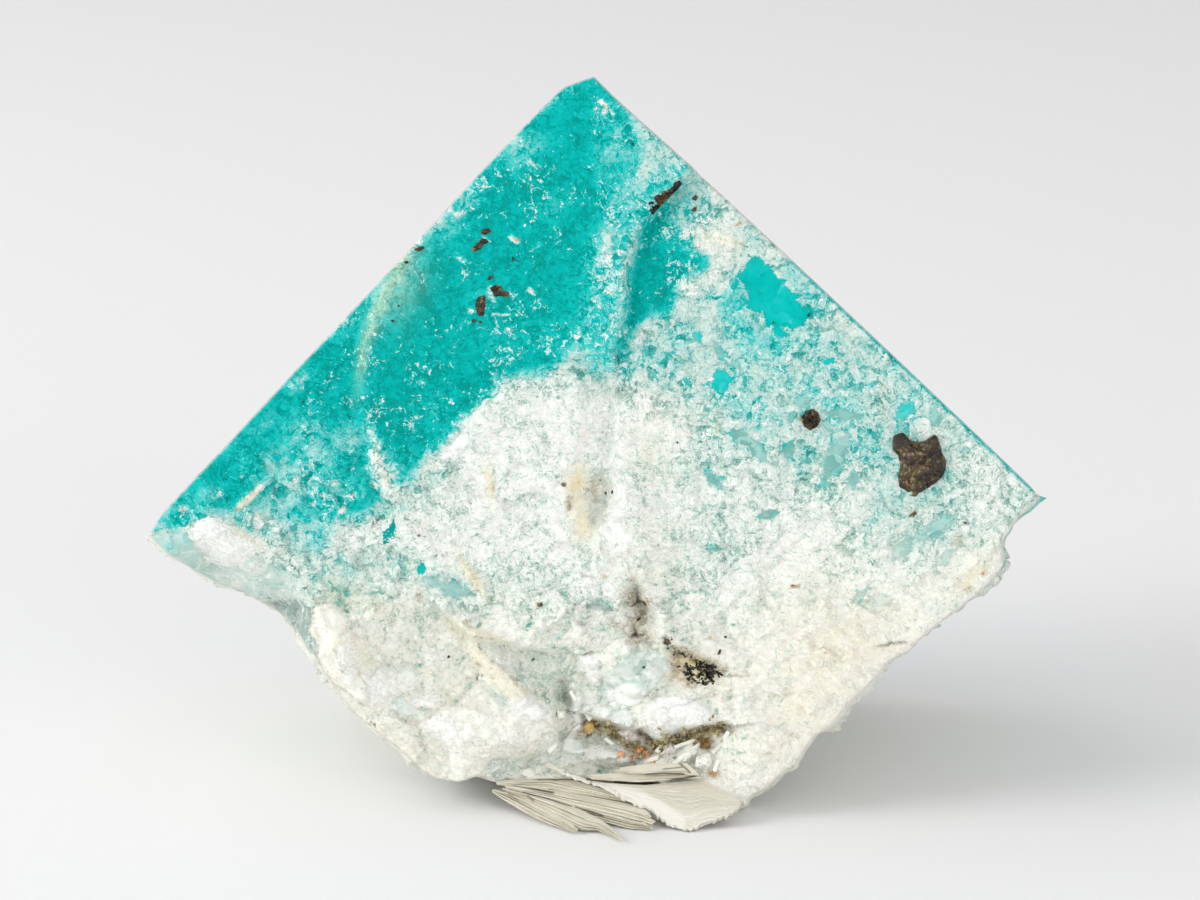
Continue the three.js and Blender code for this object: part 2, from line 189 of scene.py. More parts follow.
def inside_of(outline: Points2, across: Array, up: Array) -> Array:
    """Distance to a closed outline in millimetres, positive inside it.

    The sign comes from how often a ray to the right crosses the outline.

    Args:
        outline: its corners in order, the first not repeated.
        across, up: the places.

    Returns:
        The distances, in the shape of the places.
    """
    nearest = np.full(across.shape, np.inf)
    crossings = np.zeros(across.shape, dtype=int)
    for start, end in zip(outline, outline[1:] + outline[:1]):
        length = max(math.hypot(end[0] - start[0], end[1] - start[1]), 1e-9)
        run_x, run_y = (end[0] - start[0]) / length, (end[1] - start[1]) / length
        off_x, off_y = across - start[0], up - start[1]
        held = np.clip(off_x * run_x + off_y * run_y, 0.0, length)
        nearest = np.minimum(nearest, np.hypot(off_x - held * run_x, off_y - held * run_y))
        spans = (start[1] > up) != (end[1] > up)
        slope = (end[0] - start[0]) / (end[1] - start[1]) if end[1] != start[1] else 0.0
        crossings += spans & (across < start[0] + (up - start[1]) * slope)
    return np.where(crossings % 2 == 1, nearest, -nearest)


def path(*numbers: float) -> Points2:
    """The points of a line, from the across and up of each in turn."""
    return tuple(zip(numbers[::2], numbers[1::2]))


def resample(line: Points2, count: int) -> Array:
    """Count points spaced evenly along a polyline, as a (count, 2) array."""
    corners = np.array(line, float)
    run = np.concatenate([[0.0], np.cumsum(np.linalg.norm(np.diff(corners, axis=0), axis=1))])
    share = np.linspace(0.0, run[-1], count)
    return np.stack([np.interp(share, run, corners[:, axis]) for axis in (0, 1)], axis=1)


@dataclass(frozen=True)
class FaceFrame:
    """The leaning front face: turns across, up and out of the face into places in the row frame.

    Attributes:
        lean: how far the face leans back, in degrees.
        centre: the middle of the face in the row frame, in millimetres.
    """

    lean: float = 12.0
    centre: tuple[float, float, float] = (0.35, -13.18, 24.16)

    def axes(self) -> tuple[Array, Array, Array]:
        """Unit vectors across the face, up it and out of it."""
        lean = math.radians(self.lean)
        up = np.array([0.0, math.sin(lean), math.cos(lean)])
        out = np.array([0.0, -math.cos(lean), math.sin(lean)])
        return np.array([1.0, 0.0, 0.0]), up, out

    def place(self, across: Array, up: Array, out: Array) -> Array:
        """Places in the row frame in metres, as (n, 3): centre plus each distance along its axis."""
        axis_across, axis_up, axis_out = self.axes()
        spread = (np.ravel(across)[:, None] * axis_across + np.ravel(up)[:, None] * axis_up
                  + np.ravel(out)[:, None] * axis_out)
        return (np.array(self.centre) + spread) * MM


FACE = FaceFrame()


# ---- mesh helpers


def build_mesh(name: str, verts: Array, faces: list, sharp: float = 180.0) -> Object:
    """Makes a smooth-shaded mesh object in the scene.

    Args:
        name: the object's name.
        verts: (n, 3) places in metres.
        faces: lists of corner numbers, or arrays of quads or triangles.
        sharp: edges that bend by more than this many degrees stay sharp.

    Returns:
        The new object, at the origin.
    """
    mesh = bpy.data.meshes.new(name)
    mesh.from_pydata(verts.tolist(), [], faces)
    mesh.validate()
    mesh.shade_smooth()
    if sharp < 180.0:
        mesh.set_sharp_from_angle(angle=math.radians(sharp))
    obj = bpy.data.objects.new(name, mesh)
    bpy.context.scene.collection.objects.link(obj)
    return obj


def set_attribute(obj: Object, name: str, values: Array) -> None:
    """Stores one number per vertex under a name that the materials read."""
    attribute = obj.data.attributes.new(name, "FLOAT", "POINT")
    attribute.data.foreach_set("value", np.asarray(values, dtype=np.float32))


def grid_faces(rows: int, columns: int, first: int = 0) -> Array:
    """Quads of a grid whose points run along its columns first, as (n, 4)."""
    index = first + np.arange(rows * columns).reshape(rows, columns)
    return np.stack([index[:-1, :-1], index[:-1, 1:], index[1:, 1:], index[1:, :-1]], axis=-1).reshape(-1, 4)


def edge_loop(index: Array) -> Array:
    """The numbers round a grid's rim: along its first row, down, back along its last row and up."""
    return np.concatenate([index[0, :-1], index[:-1, -1], index[-1, :0:-1], index[:0:-1, 0]])


def circle_of(count: int) -> tuple[Array, Array]:
    """Cosine and sine of count even steps round a circle."""
    turn = np.arange(count) * TURN / count
    return np.cos(turn), np.sin(turn)


# ---- marks on the face


@dataclass(frozen=True)
class Patch:
    """A soft elliptic patch of colour or of relief on the face.

    Attributes:
        across, up: its middle.
        wide, high: its half sizes.
        amount: its strength, or its height in millimetres, which is below zero for a hollow.
        turn: the angle of its long axis, in degrees.
        domed: a round top with a crease round it, in place of a bell.
    """

    across: float
    up: float
    wide: float
    high: float
    amount: float
    turn: float = 0.0
    domed: bool = False

    def turned(self, across: Array, up: Array) -> tuple[Array, Array]:
        """Place along the patch's own two axes, 1 at its ends."""
        turn = math.radians(self.turn)
        off_x, off_y = across - self.across, up - self.up
        x = (off_x * math.cos(turn) + off_y * math.sin(turn)) / self.wide
        y = (-off_x * math.sin(turn) + off_y * math.cos(turn)) / self.high
        return x, y

    def radius(self, across: Array, up: Array) -> Array:
        """Distance from the middle, 1 on the ellipse."""
        return np.hypot(*self.turned(across, up))

    def soft(self, across: Array, up: Array) -> Array:
        """The amount in the middle, fading as a bell exp(-r²), or as a dome √(1 - r²)."""
        squared = self.radius(across, up) ** 2
        if self.domed:
            return self.amount * np.sqrt(np.clip(1.0 - squared, 0.0, 1.0))
        return self.amount * np.exp(-squared)

    def sharp(self, across: Array, up: Array) -> Array:
        """About the distance inside a rhomb with blunt corners in millimetres, negative outside."""
        x, y = self.turned(across, up)
        rhomb = np.maximum(0.82 * (np.abs(x) + np.abs(y)), np.hypot(x, y) * 0.9)
        return (1.0 - rhomb) * min(self.wide, self.high)


@dataclass(frozen=True)
class Stroke:
    """A line of colour on the face: its points, half width and strength."""

    line: Points2
    width: float
    amount: float

    def mask(self, across: Array, up: Array) -> Array:
        """The amount on the line, fading to nothing at half as far again as the half width."""
        side, past = side_of(self.line, across, up)
        return self.amount * np.clip(1.5 - np.hypot(side, past) / self.width, 0.0, 1.0)


Patches = tuple[Patch, ...]
Strokes = tuple[Stroke, ...]


def patches(*rows: tuple[float, ...]) -> Patches:
    """Patches from rows of their fields."""
    return tuple(Patch(*row) for row in rows)


def strokes(*rows: tuple[float, ...]) -> Strokes:
    """Strokes from rows of a half width, a strength, and the across and up of each point in turn."""
    return tuple(Stroke(path(*row[2:]), row[0], row[1]) for row in rows)


def softest_sum(parts: Patches, across: Array, up: Array) -> Array:
    """The sum of several soft patches at each point."""
    return sum(part.soft(across, up) for part in parts)


def strongest(parts: Strokes, across: Array, up: Array) -> Array:
    """The largest mask of several strokes at each point."""
    return np.max([part.mask(across, up) for part in parts], axis=0)


@dataclass(frozen=True)
class Scarp:
    """A broken step: the right-hand side of its line stands higher and sinks away again.

    Attributes:
        line: the step's foot.
        height: how high the right-hand side stands.
        ramp: half the width of the rise.
        reach: how far the raised side takes to sink away.
        dip: how deep the lower side is hollowed along the line.
    """

    line: Points2
    height: float
    ramp: float = 0.3
    reach: float = 5.0
    dip: float = 0.0

    def heights(self, across: Array, up: Array) -> Array:
        """The raised side decays exponentially, the dip too, and both fade past the ends of the line."""
        side, past = side_of(self.line, across, up)
        fade = np.exp(-((past / 1.5) ** 2))
        raised = self.height * smooth(-self.ramp, self.ramp, side)
        raised = raised * np.exp(-np.maximum(side, 0.0) / self.reach)
        hollow = self.dip * np.exp(-np.abs(side + self.ramp) / 0.9) * smooth(self.ramp, -self.ramp, side)
        return (raised - hollow) * fade


@dataclass(frozen=True)
class Panel:
    """A crystal face, lump or smooth area with a crisp border, which may stand out of the face.

    Attributes:
        outline: its corners on the face.
        level: its teal level.
        cream, grey, straw: its tints, where grey also stands for painted shade on hollow and underside
            panels.
        slick: how smooth it is, 0 for crust as around it and 1 for glass.
        rise: how far it stands out.
        round: how wide its shoulder is.
    """

    outline: Points2
    level: float
    cream: float = 0.0
    grey: float = 0.0
    slick: float = 1.0
    straw: float = 0.0
    rise: float = 0.0
    round: float = 0.5

    def heights(self, depth: Array) -> Array:
        """A small step at the border, then a shoulder: rise times 1 - exp(-depth / round)."""
        inside = np.maximum(depth, 0.0)
        return self.rise * (0.3 * smooth(0.0, 0.15, inside) + 0.7 * (1.0 - np.exp(-inside / self.round)))


PANELS = (
    Panel(path(-30.4, -5.4, -28.8, -5.5, -27.6, -5.5, -26.9, -6.4, -26.6, -7.4, -26, -8, -27.4, -8.6,
        -30, -7), 0.34, 0, 0.5, 0.3),
    Panel(path(-26.6, -7.3, -25.4, -7.9, -24, -7.6, -23.4, -6.9, -22.6, -7.2, -21.4, -7.9, -20.6, -8.2,
        -19.6, -9.3, -19.3, -10.3, -20.5, -10, -22.3, -10, -24.2, -10, -26, -9.4, -27.6, -8.4), 0.25, 0,
        0.15, 0.03),
    # the receding underside past the shelf: its grey is painted shade
    Panel(path(-22.6, -10.4, -21.5, -10.05, -20.6, -9.95, -19.9, -10.1, -19.3, -10.7, -19.35, -11.5,
        -19.4, -12, -19, -12.7, -18.7, -13.2, -18.6, -14.2, -19.6, -14.4, -21, -12.9, -22, -11.6), 0.26,
        0, 1.7, 1),
    Panel(path(-27.2, -5.2, -26.7, -4.5, -25.8, -4.4, -25, -4.9, -24, -5.5, -23, -6.1, -22.2, -6.6,
        -23.2, -7, -24.1, -7.6, -25.3, -7.8, -26.2, -7.3, -26.9, -6.3), 0.05, 0, 0, 0.03, 0, 0.25, 0.3),
    Panel(path(-19.1, -10.6, -18.6, -10.4, -18.2, -10.8, -18.05, -11.5, -17.4, -11.8, -16.4, -12,
        -15.6, -12.6, -15.3, -13.2, -16.1, -13.5, -16.2, -14.5, -15.9, -15.1, -15.6, -15.9, -15.4, -16.6,
        -15.6, -17, -16.4, -16.8, -17.2, -16, -18, -15.2, -18.6, -14.8, -18.7, -13.8, -18.75, -12.9,
        -19.3, -12), 0, 0.7, 0, 0.05, 0.1, 0.6, 0.7),
    Panel(path(-17.3, -13, -16.6, -12.7, -16.1, -13.6, -16.2, -14.6, -15.9, -15.3, -15.9, -15.9,
        -16.6, -15.8, -17.2, -15, -17.6, -14.2), 0.02, 0.2, 0, 0.05, 0, 0.25, 0.25),
    Panel(path(-18.8, -14.7, -18, -15.1, -17.2, -15.9, -16.4, -16.8, -15.6, -17.1, -15.3, -16.6,
        -14.9, -17.6, -14.2, -18.3, -15.2, -19.3, -17.2, -17.5), 0.04, 0.5, 0.15, 0.04, 0.12),
    Panel(path(-15.3, -17.7, -14.6, -18, -13.9, -18.5, -13, -18.9, -12.2, -18.9, -11.4, -19.2,
        -10.8, -19.4, -10.4, -20.2, -10.2, -21, -10.2, -22.3, -11.4, -22.4, -12.6, -21.4, -14, -20.2,
        -15.4, -19.1), 0.05, 0.55, 0.2, 0.02, 0.1, 0.2, 0.4),
    Panel(path(-16, -14.6, -15.2, -14.9, -14.4, -14.2, -13.5, -14.7, -12.6, -14.3, -12.1, -15,
        -12.4, -15.9, -13.4, -16.2, -14.2, -16.9, -15, -17.1, -15.5, -16.2), 0.02, 0.1, 0, 0.03, 0, 0.35,
        0.4),
    Panel(path(-14.1, -17.3, -13.9, -16.7, -13.3, -16.5, -12.8, -16.9, -12.1, -17.2, -11.9, -17.5,
        -12.6, -17.9, -13.5, -17.7), 0.17, 0, 0.35, 0.3),
    Panel(path(-12.7, -16.8, -12.3, -16.4, -11.4, -16.2, -10.4, -16.4, -10.7, -17, -11.1, -17.5,
        -12, -17.3), 0.02, 0.1, 0, 0.05, 0, 0.45, 0.3),
    Panel(path(-12, -18.9, -11.9, -18.2, -11.2, -17.7, -10.4, -17.1, -9.6, -16.9, -8.4, -17.1,
        -7.4, -17.5, -6, -17.6, -5, -17.3, -4, -17, -3, -17.5, -2.85, -18.3, -2.95, -18.9, -3.6, -19.1,
        -4.1, -19.5, -4.3, -20.2, -4.6, -20.6, -5.6, -20.8, -6.9, -20.6, -7.4, -20.9, -7.8, -21.6,
        -8.3, -21.9, -9.2, -22.4, -9.9, -22.4, -10.2, -21.4, -10.3, -20.4, -10.8, -19.4, -11.3, -19.1),
        0.03, 0.4, 0, 0.045, 0.06, 0.7, 0.9),
    Panel(path(-10.9, -17.6, -9.9, -17.6, -9.4, -18.8, -9.9, -19.8, -10.2, -20.6, -10.5, -19.6,
        -11.4, -18.9, -11.8, -18.5), 0.02, 0.15, 0, 0.04, 0, 0.2, 0.3),
    Panel(path(-6.2, -16.9, -5.6, -16.3, -4.6, -16.3, -3.7, -16.8, -3.2, -17.5, -3.6, -18.1, -4.8, -18.2,
        -5.9, -17.8), 0.02, 0.05, 0, 0.04, 0, 0.35, 0.4),
    Panel(path(-7.3, -16.1, -6.7, -16.2, -6.2, -16.8, -6.1, -17.2, -6.8, -17.1, -7.1, -16.7), 0.13, 0,
        0.6, 0.05, 0, -0.25, 0.2),
    Panel(path(-7.4, -20.9, -6.8, -20.6, -5.6, -20.8, -5, -21.4, -5.8, -21.8, -7, -22.1, -7.6, -21.6),
        0.1, 0.1, 0.6, 0),
    Panel(path(-8, -13, -7.3, -12.9, -6.4, -13.1, -5.2, -13.4, -4, -13.3, -3.2, -13.5, -2.4, -13.8,
        -1.9, -14.2, -1.6, -14.6, -2.1, -15.2, -2.6, -15.3, -2.8, -16, -3.6, -16, -4.4, -16.2,
        -5.2, -15.8, -6.1, -15, -6.9, -14.2), 0.13, 0.2, 0.25, 0, 0.06),
    Panel(path(-8, -13, -6.4, -13.1, -5.4, -13.4, -5.3, -14.2, -6.2, -14.6, -6.9, -14.2), 0.1, 0.1, 0.5,
        0.03, 0.1),
    Panel(path(-9, -13, -8.2, -13.1, -7.6, -13.6, -6.9, -14.2, -6.1, -15, -5.3, -15.9, -4.5, -16.2,
        -5.2, -16.6, -6, -16.4, -7.2, -15.6, -7.6, -15, -8, -14.5, -8.8, -13.9), 0.04, 0.9, 0, 0, 0.18,
        0.3, 0.5),
    Panel(path(-10.2, -11.2, -9.6, -11.1, -8.9, -11.6, -8.2, -12, -7.4, -12.3, -6.5, -12.85, -6.2, -13.1,
        -7.2, -12.85, -8.6, -12.85, -9.2, -12.3, -9.9, -11.8), 0.06, 0.7, 0.1, 0, 0.32, 0.25, 0.3),
    Panel(path(-1.5, -14.6, -1.9, -15.3, -2.2, -16.2, -2.3, -17, -2.8, -16.9, -2.9, -16.3, -2.6, -15.4,
        -2, -15.2), 0.12, 0.1, 1.2, 0.1, 0.15),
    Panel(path(-1.6, -13.6, -0.4, -13.5, 0, -14, -0.1, -15, 0.2, -15.8, -0.5, -15.9, -0.9, -15.5,
        -0.95, -14.9, -1.3, -15.1, -1.6, -14.5), 0.03, 0, 0, 0.08, 0, 0.5, 0.3),
    Panel(path(-1.6, -15.7, -1.2, -16, -1.1, -16.8, -1.2, -17.6, -1, -18.2, -1.2, -18.7, -1.8, -18.4,
        -2.1, -17.8, -2.2, -17.2, -1.9, -16.4), 0.04, 0.15, 0.45, 0.2, 0, 0.5, 0.3),
    Panel(path(0.8, -14.5, 1.5, -14, 2.2, -13.2, 2.7, -12.7, 3.3, -13, 4.4, -13.8, 4.7, -14.5, 4.1, -15.3,
        3.4, -16.2, 2.8, -16.8, 1.2, -16.4, 0.1, -16.8, -0.1, -16, 0.2, -15.2), 0.18, 0, 0.35, 0.5),
    Panel(path(0.5, -16.2, 1.8, -15.7, 3, -16.2, 2.8, -17, 1.6, -17.1, 0.4, -16.9), 0.03, 0, 0, 0.1, 0,
        0.2, 0.3),
    Panel(path(0.9, -17.1, 1.8, -17.2, 2.3, -17.8, 2.5, -18.5, 1.9, -18.8, 1.5, -18.4, 0.8, -18.3,
        0, -18.2, -0.6, -17.6, -0.5, -16.9, 0.1, -17), 0.1, 0, 0.35, 0.2, 0, 0.3, 0.4),
    Panel(path(3.2, -16.9, 4, -16.3, 5.4, -16.4, 6.8, -16.7, 7.6, -17.5, 7.3, -18.2, 6.4, -18.5,
        5.4, -18.6, 4.6, -18.9, 3.6, -19.2, 3, -18.4, 2.8, -17.6), 0.02, 0.05, 0, 0.05, 0, 0.5, 0.6),
    Panel(path(-2.6, -19.3, -2, -19.1, -1.2, -19.5, -0.8, -20.2, -1.6, -20.6, -2.6, -20.4), 0.07, 0, 0.35,
        0.2, 0, 0.4, 0.3),
    Panel(path(-0.8, -19.7, 0, -19.7, 1, -20.2, 2.4, -20.7, 1.8, -21.3, 0.4, -21.4, -0.8, -21,
        -1.2, -20.4), 0.05, 0.2, 0.4, 0.1, 0.08, 0.4, 0.4),
    Panel(path(6.3, -21.6, 8.3, -20.8, 11, -21.4, 10.4, -22.8, 9.6, -24, 8.4, -25, 6.4, -23.4), 0.03,
        0.45, 0.1, 0.03, 0.04),
    Panel(path(-1.1, -10.4, -0.4, -10.05, 0.3, -10, 0.9, -10.5, 0.9, -10.8, 0, -10.7, -0.6, -10.7), 0.24,
        0, 0.9, 0.1),
    Panel(path(2.5, 22, 3.1, 19.6, 2.4, 18.5, 4, 17.9, 5.3, 17.8, 6.5, 18.4, 4.6, 20.3), 0.38, 0.1, 0.1,
        0),
    Panel(path(-0.6, -1.6, 0.2, -1.5, 0.6, -2.4, 0.5, -3.6, 0.3, -5, -0.6, -5.2, -0.9, -4, -0.8, -2.6),
        0.16, 0.5, 0.8, 0.05, 0.16),
)


# ---- the front face


LEFT_TIP = (-30.1, -5.7)
TOP_TIP = (-0.4, 24.9)
RIGHT_TIP = (29.4, -3.2)
LOW_CORNER = (8.4, -24.5)


def on_face(across: Array, up: Array) -> Array:
    """Places on the flat face in millimetres, as (n, 3), for the noises."""
    return np.stack([across, up, np.zeros_like(across)], axis=1)


def ragged(flat: Array) -> tuple[Array, Array]:
    """Across and up of points on the face, shifted by noise so that borders drawn with them are uneven."""
    return flat[:, 0] + 0.3 * fractal(flat, 1.3, 3, 195), flat[:, 1] + 0.3 * fractal(flat, 1.3, 3, 197)


def creases(flat: Array) -> Array:
    """The ridged folds of the crumbly stone low on the face, of about -1 to 1."""
    return fractal(flat, 2.4, 4, 49, True)


def crumbly(across: Array, up: Array) -> Array:
    """1 on the crumbly lower part of the face, 0 above and to the right of it."""
    return smooth(-5.0, -13.0, up) * smooth(14.0, 4.0, across)


@dataclass(frozen=True)
class FaceShape:
    """Outline and relief of the front face, in millimetres on the face."""

    upper_left: Points2 = path(
        *LEFT_TIP, -29.4, -4.5, -28, -2.9, -25, 0.25, -20, 5.65, -14, 12, -8, 18.5, -5, 21.7, -3, 23.7,
        -2.4, 24.2, -1.2, 24.65, *TOP_TIP)
    upper_right: Points2 = path(
        *TOP_TIP, 0.1, 24.4, 1, 23.5, 5, 19.9, 10, 15.3, 18, 7.8, 26, 0.2, 28.6, -2.3, *RIGHT_TIP)
    lower_right: Points2 = path(
        *LOW_CORNER, 9.6, -23.8, 10.2, -23, 11, -22.6, 12.2, -21.5, 13, -21, 13.4, -20.3, 14.3, -19.1,
        15.5, -18.3, 16.5, -16.9, 18, -15.6, 19.2, -14.1, 20.5, -13.5, 22, -12, 23.5, -10.9, 25, -9.8,
        26.3, -8.5, 26.9, -7.7, 26.8, -6.2, 27.6, -5, 28.2, -4.3, 28.7, -3.9, *RIGHT_TIP)
    lower_left: Points2 = path(
        *LEFT_TIP, -29, -6.8, -28, -7.6, -26, -9, -24, -9.65, -22.2, -10.5, -21, -11.7, -20, -12.6,
        -18.8, -14, -18.5, -14.9, -17.5, -16.2, -16.5, -17.6, -15, -18.8, -13.2, -20.2, -12, -21.4,
        -11.2, -22, -9.5, -22.25, -8.3, -21.9, -7, -22.3, -4, -22.1, 0, -22.1, 4, -22.3, 6.6, -23.2,
        *LOW_CORNER)
    shelf: Points2 = path(
        -31, -5.7, -29, -5.3, -28, -5.3, -27.2, -5, -26.7, -4.5, -25.8, -4.4, -25, -5, -23.5, -6,
        -22, -6.9, -20.6, -8.1, -19.5, -9.2, -18.7, -10.4, -19, -12, -18.6, -13.4)
    shelf_drop: float = 6.0
    shelf_width: float = 4.0
    low_recess: float = 2.1
    scarps: tuple[Scarp, ...] = (
        Scarp(path(-13.2, -4.2, -13.4, -3.5, -14, -3.4, -14.6, -2.4, -15.2, -1.3, -15.3, 0.5, -15.9, 1.5,
            -16.2, 3, -16.3, 5.2, -16, 7.3, -15.6, 8.4, -14.9, 10.2, -14, 11.5), 0.6, 0.5, 7, 0.2),
        Scarp(path(6.6, 18.5, 5.4, 17.8, 4.4, 16.8, 3.6, 15.8, 2.8, 14.8, 2.3, 13.2, 2, 12.5, 1.9, 11,
            1.6, 9.2, 1.3, 7.4, 1.2, 6.5), 0.75, 0.3, 3.5, 0.45),
        Scarp(path(-8.8, 2, -8.6, 2.4, -7.6, 3.3, -6.8, 4, -5.5, 4.4, -4.5, 4.9, -3.8, 5.2, -2, 5.2),
            0.85, 0.5, 6, 0.1),
        Scarp(path(-0.4, -6.4, 0, -5, 0.6, -4, 0.7, -2.2, 0.9, 0, 0.8, 1.6, 1.1, 3.4), 0.55, 0.45, 4,
            0.4),
        Scarp(path(-10.3, -11, -9.3, -12, -8.5, -12.6, -7.5, -12.8, -6.4, -13, -5.3, -13.3, -4, -13.5,
            -2, -13.4), -1.5, 0.35, 3.5),
        Scarp(path(-1, -18, -0.2, -18.2, 0.8, -18.2, 1.5, -18.6, 2.8, -18.9, 3.3, -19.4, 3.9, -19.6,
            4.5, -19.3, 5.2, -18.9, 6.3, -18.7, 7.2, -18.4, 8.6, -18.3), -1.5, 0.25, 2.2),
        Scarp(path(3.9, -12.6, 3.7, -11.6, 3.3, -10.7, 3, -10, 2.7, -9, 2.5, -8.3, 2, -7.5), 0.6, 0.25, 3,
            0.3),
        Scarp(path(26.8, -5.9, 27.5, -5, 28.2, -4.2), -0.5, 0.25, 3),
        Scarp(path(18.5, -13.1, 19.5, -12.9, 20.4, -12.9), -0.3, 0.15, 1.5),
    )
    lumps: Patches = patches(
        (-17.2, -13.6, 1.9, 3.2, 1.5, 25), (-15.2, -17, 1.6, 2.4, 0.9, 35), (-8.6, -18.8, 4.4, 3.2, 1.5),
        (-4.9, -18, 2.3, 2.4, 0.8), (-12.9, -17.2, 1.8, 1.5, 0.7), (-6.4, -14.4, 4.2, 0.9, 0.8, -40),
        (2.3, -14.5, 2.5, 1.9, 1.1, 0, True), (4.9, -17.2, 3, 1.5, 0.5), (2.7, -11, 0.9, 1.8, -0.8),
        (-2.6, -16.4, 0.5, 1.4, -1.3, 12), (-25.3, -5.9, 1.9, 1.1, 0.5, -35),
        (4.2, -14.4, 1.1, 0.5, -0.5, -30), (-14.6, -11, 1.6, 1.1, 0.5, 20), (-10.8, -13.9, 1.8, 1.3, 0.4),
        (-18, -11.9, 1.1, 1.5, 0.4, 25), (-23.2, -3, 1.6, 0.3, 0.35, 47),
        (1.3, -20.4, 1.5, 0.8, 0.7, 0, True), (-1.2, -20.3, 0.9, 0.9, 0.5), (9.4, -19.2, 1.8, 2, 0.6),
        (-3.6, -21.2, 1.2, 0.6, 0.5, 0, True), (-0.6, -3.3, 1.2, 2.2, -0.6), (2.1, -4, 1, 2.8, 0.5, 4),
        (3.5, -10, 0.5, 2.4, 0.4, 18), (12, -14, 6, 5, 0.5), (-5, 12, 7, 7, 0.3),
        (-1.3, -11.7, 1.7, 0.5, 0.5, -42), (-20.3, -11.6, 1.2, 1.2, -1.2), (-5.7, -20.9, 1.6, 0.8, -0.9),
        (20, -4, 5, 4, 0.3))
    calm: Patches = patches(
        (-8, -19.2, 4, 3, 0.9), (-17.4, -13.2, 1.8, 3.4, 0.8, 20), (2.2, -14.8, 2.4, 1.8, 0.7),
        (-13.8, -15.6, 1.8, 1, 0.7), (-24.5, -8, 4, 1.6, 0.6, -30), (8.4, -22.6, 2.6, 1.6, 0.7))

    def heights(self, across: Array, up: Array) -> Array:
        """Scarps and lumps, the receding underside past the shelf, the recess low down, and fine breakage.

        The breakage is fractal noise and small tilted crystal faces, weaker on the flat teal field.

        Args:
            across, up: (n,) places on the face.

        Returns:
            How far out the face stands at each place.
        """
        flat = on_face(across, up)
        out = 0.3 * fractal(flat, 7.0, 2, 11)
        bent = across + 0.55 * fractal(flat, 2.6, 3, 13)
        bent_up = up + 0.55 * fractal(flat, 2.6, 3, 17)
        for scarp in self.scarps:
            out += scarp.heights(bent, bent_up)
        out += softest_sum(self.lumps, bent, bent_up)
        past_shelf, _ = side_of(self.shelf, bent, bent_up)
        past_shelf = past_shelf - 0.9 * smooth(-21.0, -23.5, across)
        held = smooth(-17.5, -13.0, up) * smooth(-14.0, -17.0, across)
        out -= self.shelf_drop * smooth(0.0, self.shelf_width, past_shelf) * held
        out -= self.low_recess * smooth(-12.0, -20.0, up) * smooth(9.0, -1.0, across)
        calm = np.clip(1.0 - softest_sum(self.calm, across, up), 0.1, 1.0)
        ragged_across, ragged_up = ragged(flat)
        for panel in PANELS:
            if panel.rise:
                depth = inside_of(panel.outline, ragged_across, ragged_up)
                out += panel.heights(depth)
                calm *= 1.0 - 0.8 * smooth(0.0, 0.3, depth)
        rough = 0.3 + 0.7 * smooth(5.0, -7.0, up + 0.25 * across)
        low = crumbly(across, up)
        out += rough * (0.14 * fractal(flat, 2.6, 3, 21, True) + 0.13 * facets(flat, 1.7, 31))
        out += rough * calm * (0.08 * facets(flat, 0.8, 41) + 0.03 * facets(flat, 0.42, 43))
        out += low * (0.24 * facets(flat, 3.1, 45) + 0.14 * calm * facets(flat, 1.3, 47))
        out -= low * (0.3 + 0.7 * calm) * 0.3 * creases(flat)
        return out


class Zone(Enum):
    """Which face of the block a vertex lies on."""

    FRONT = 0
    UPPER = 1
    LOWER = 2
    BACK = 3


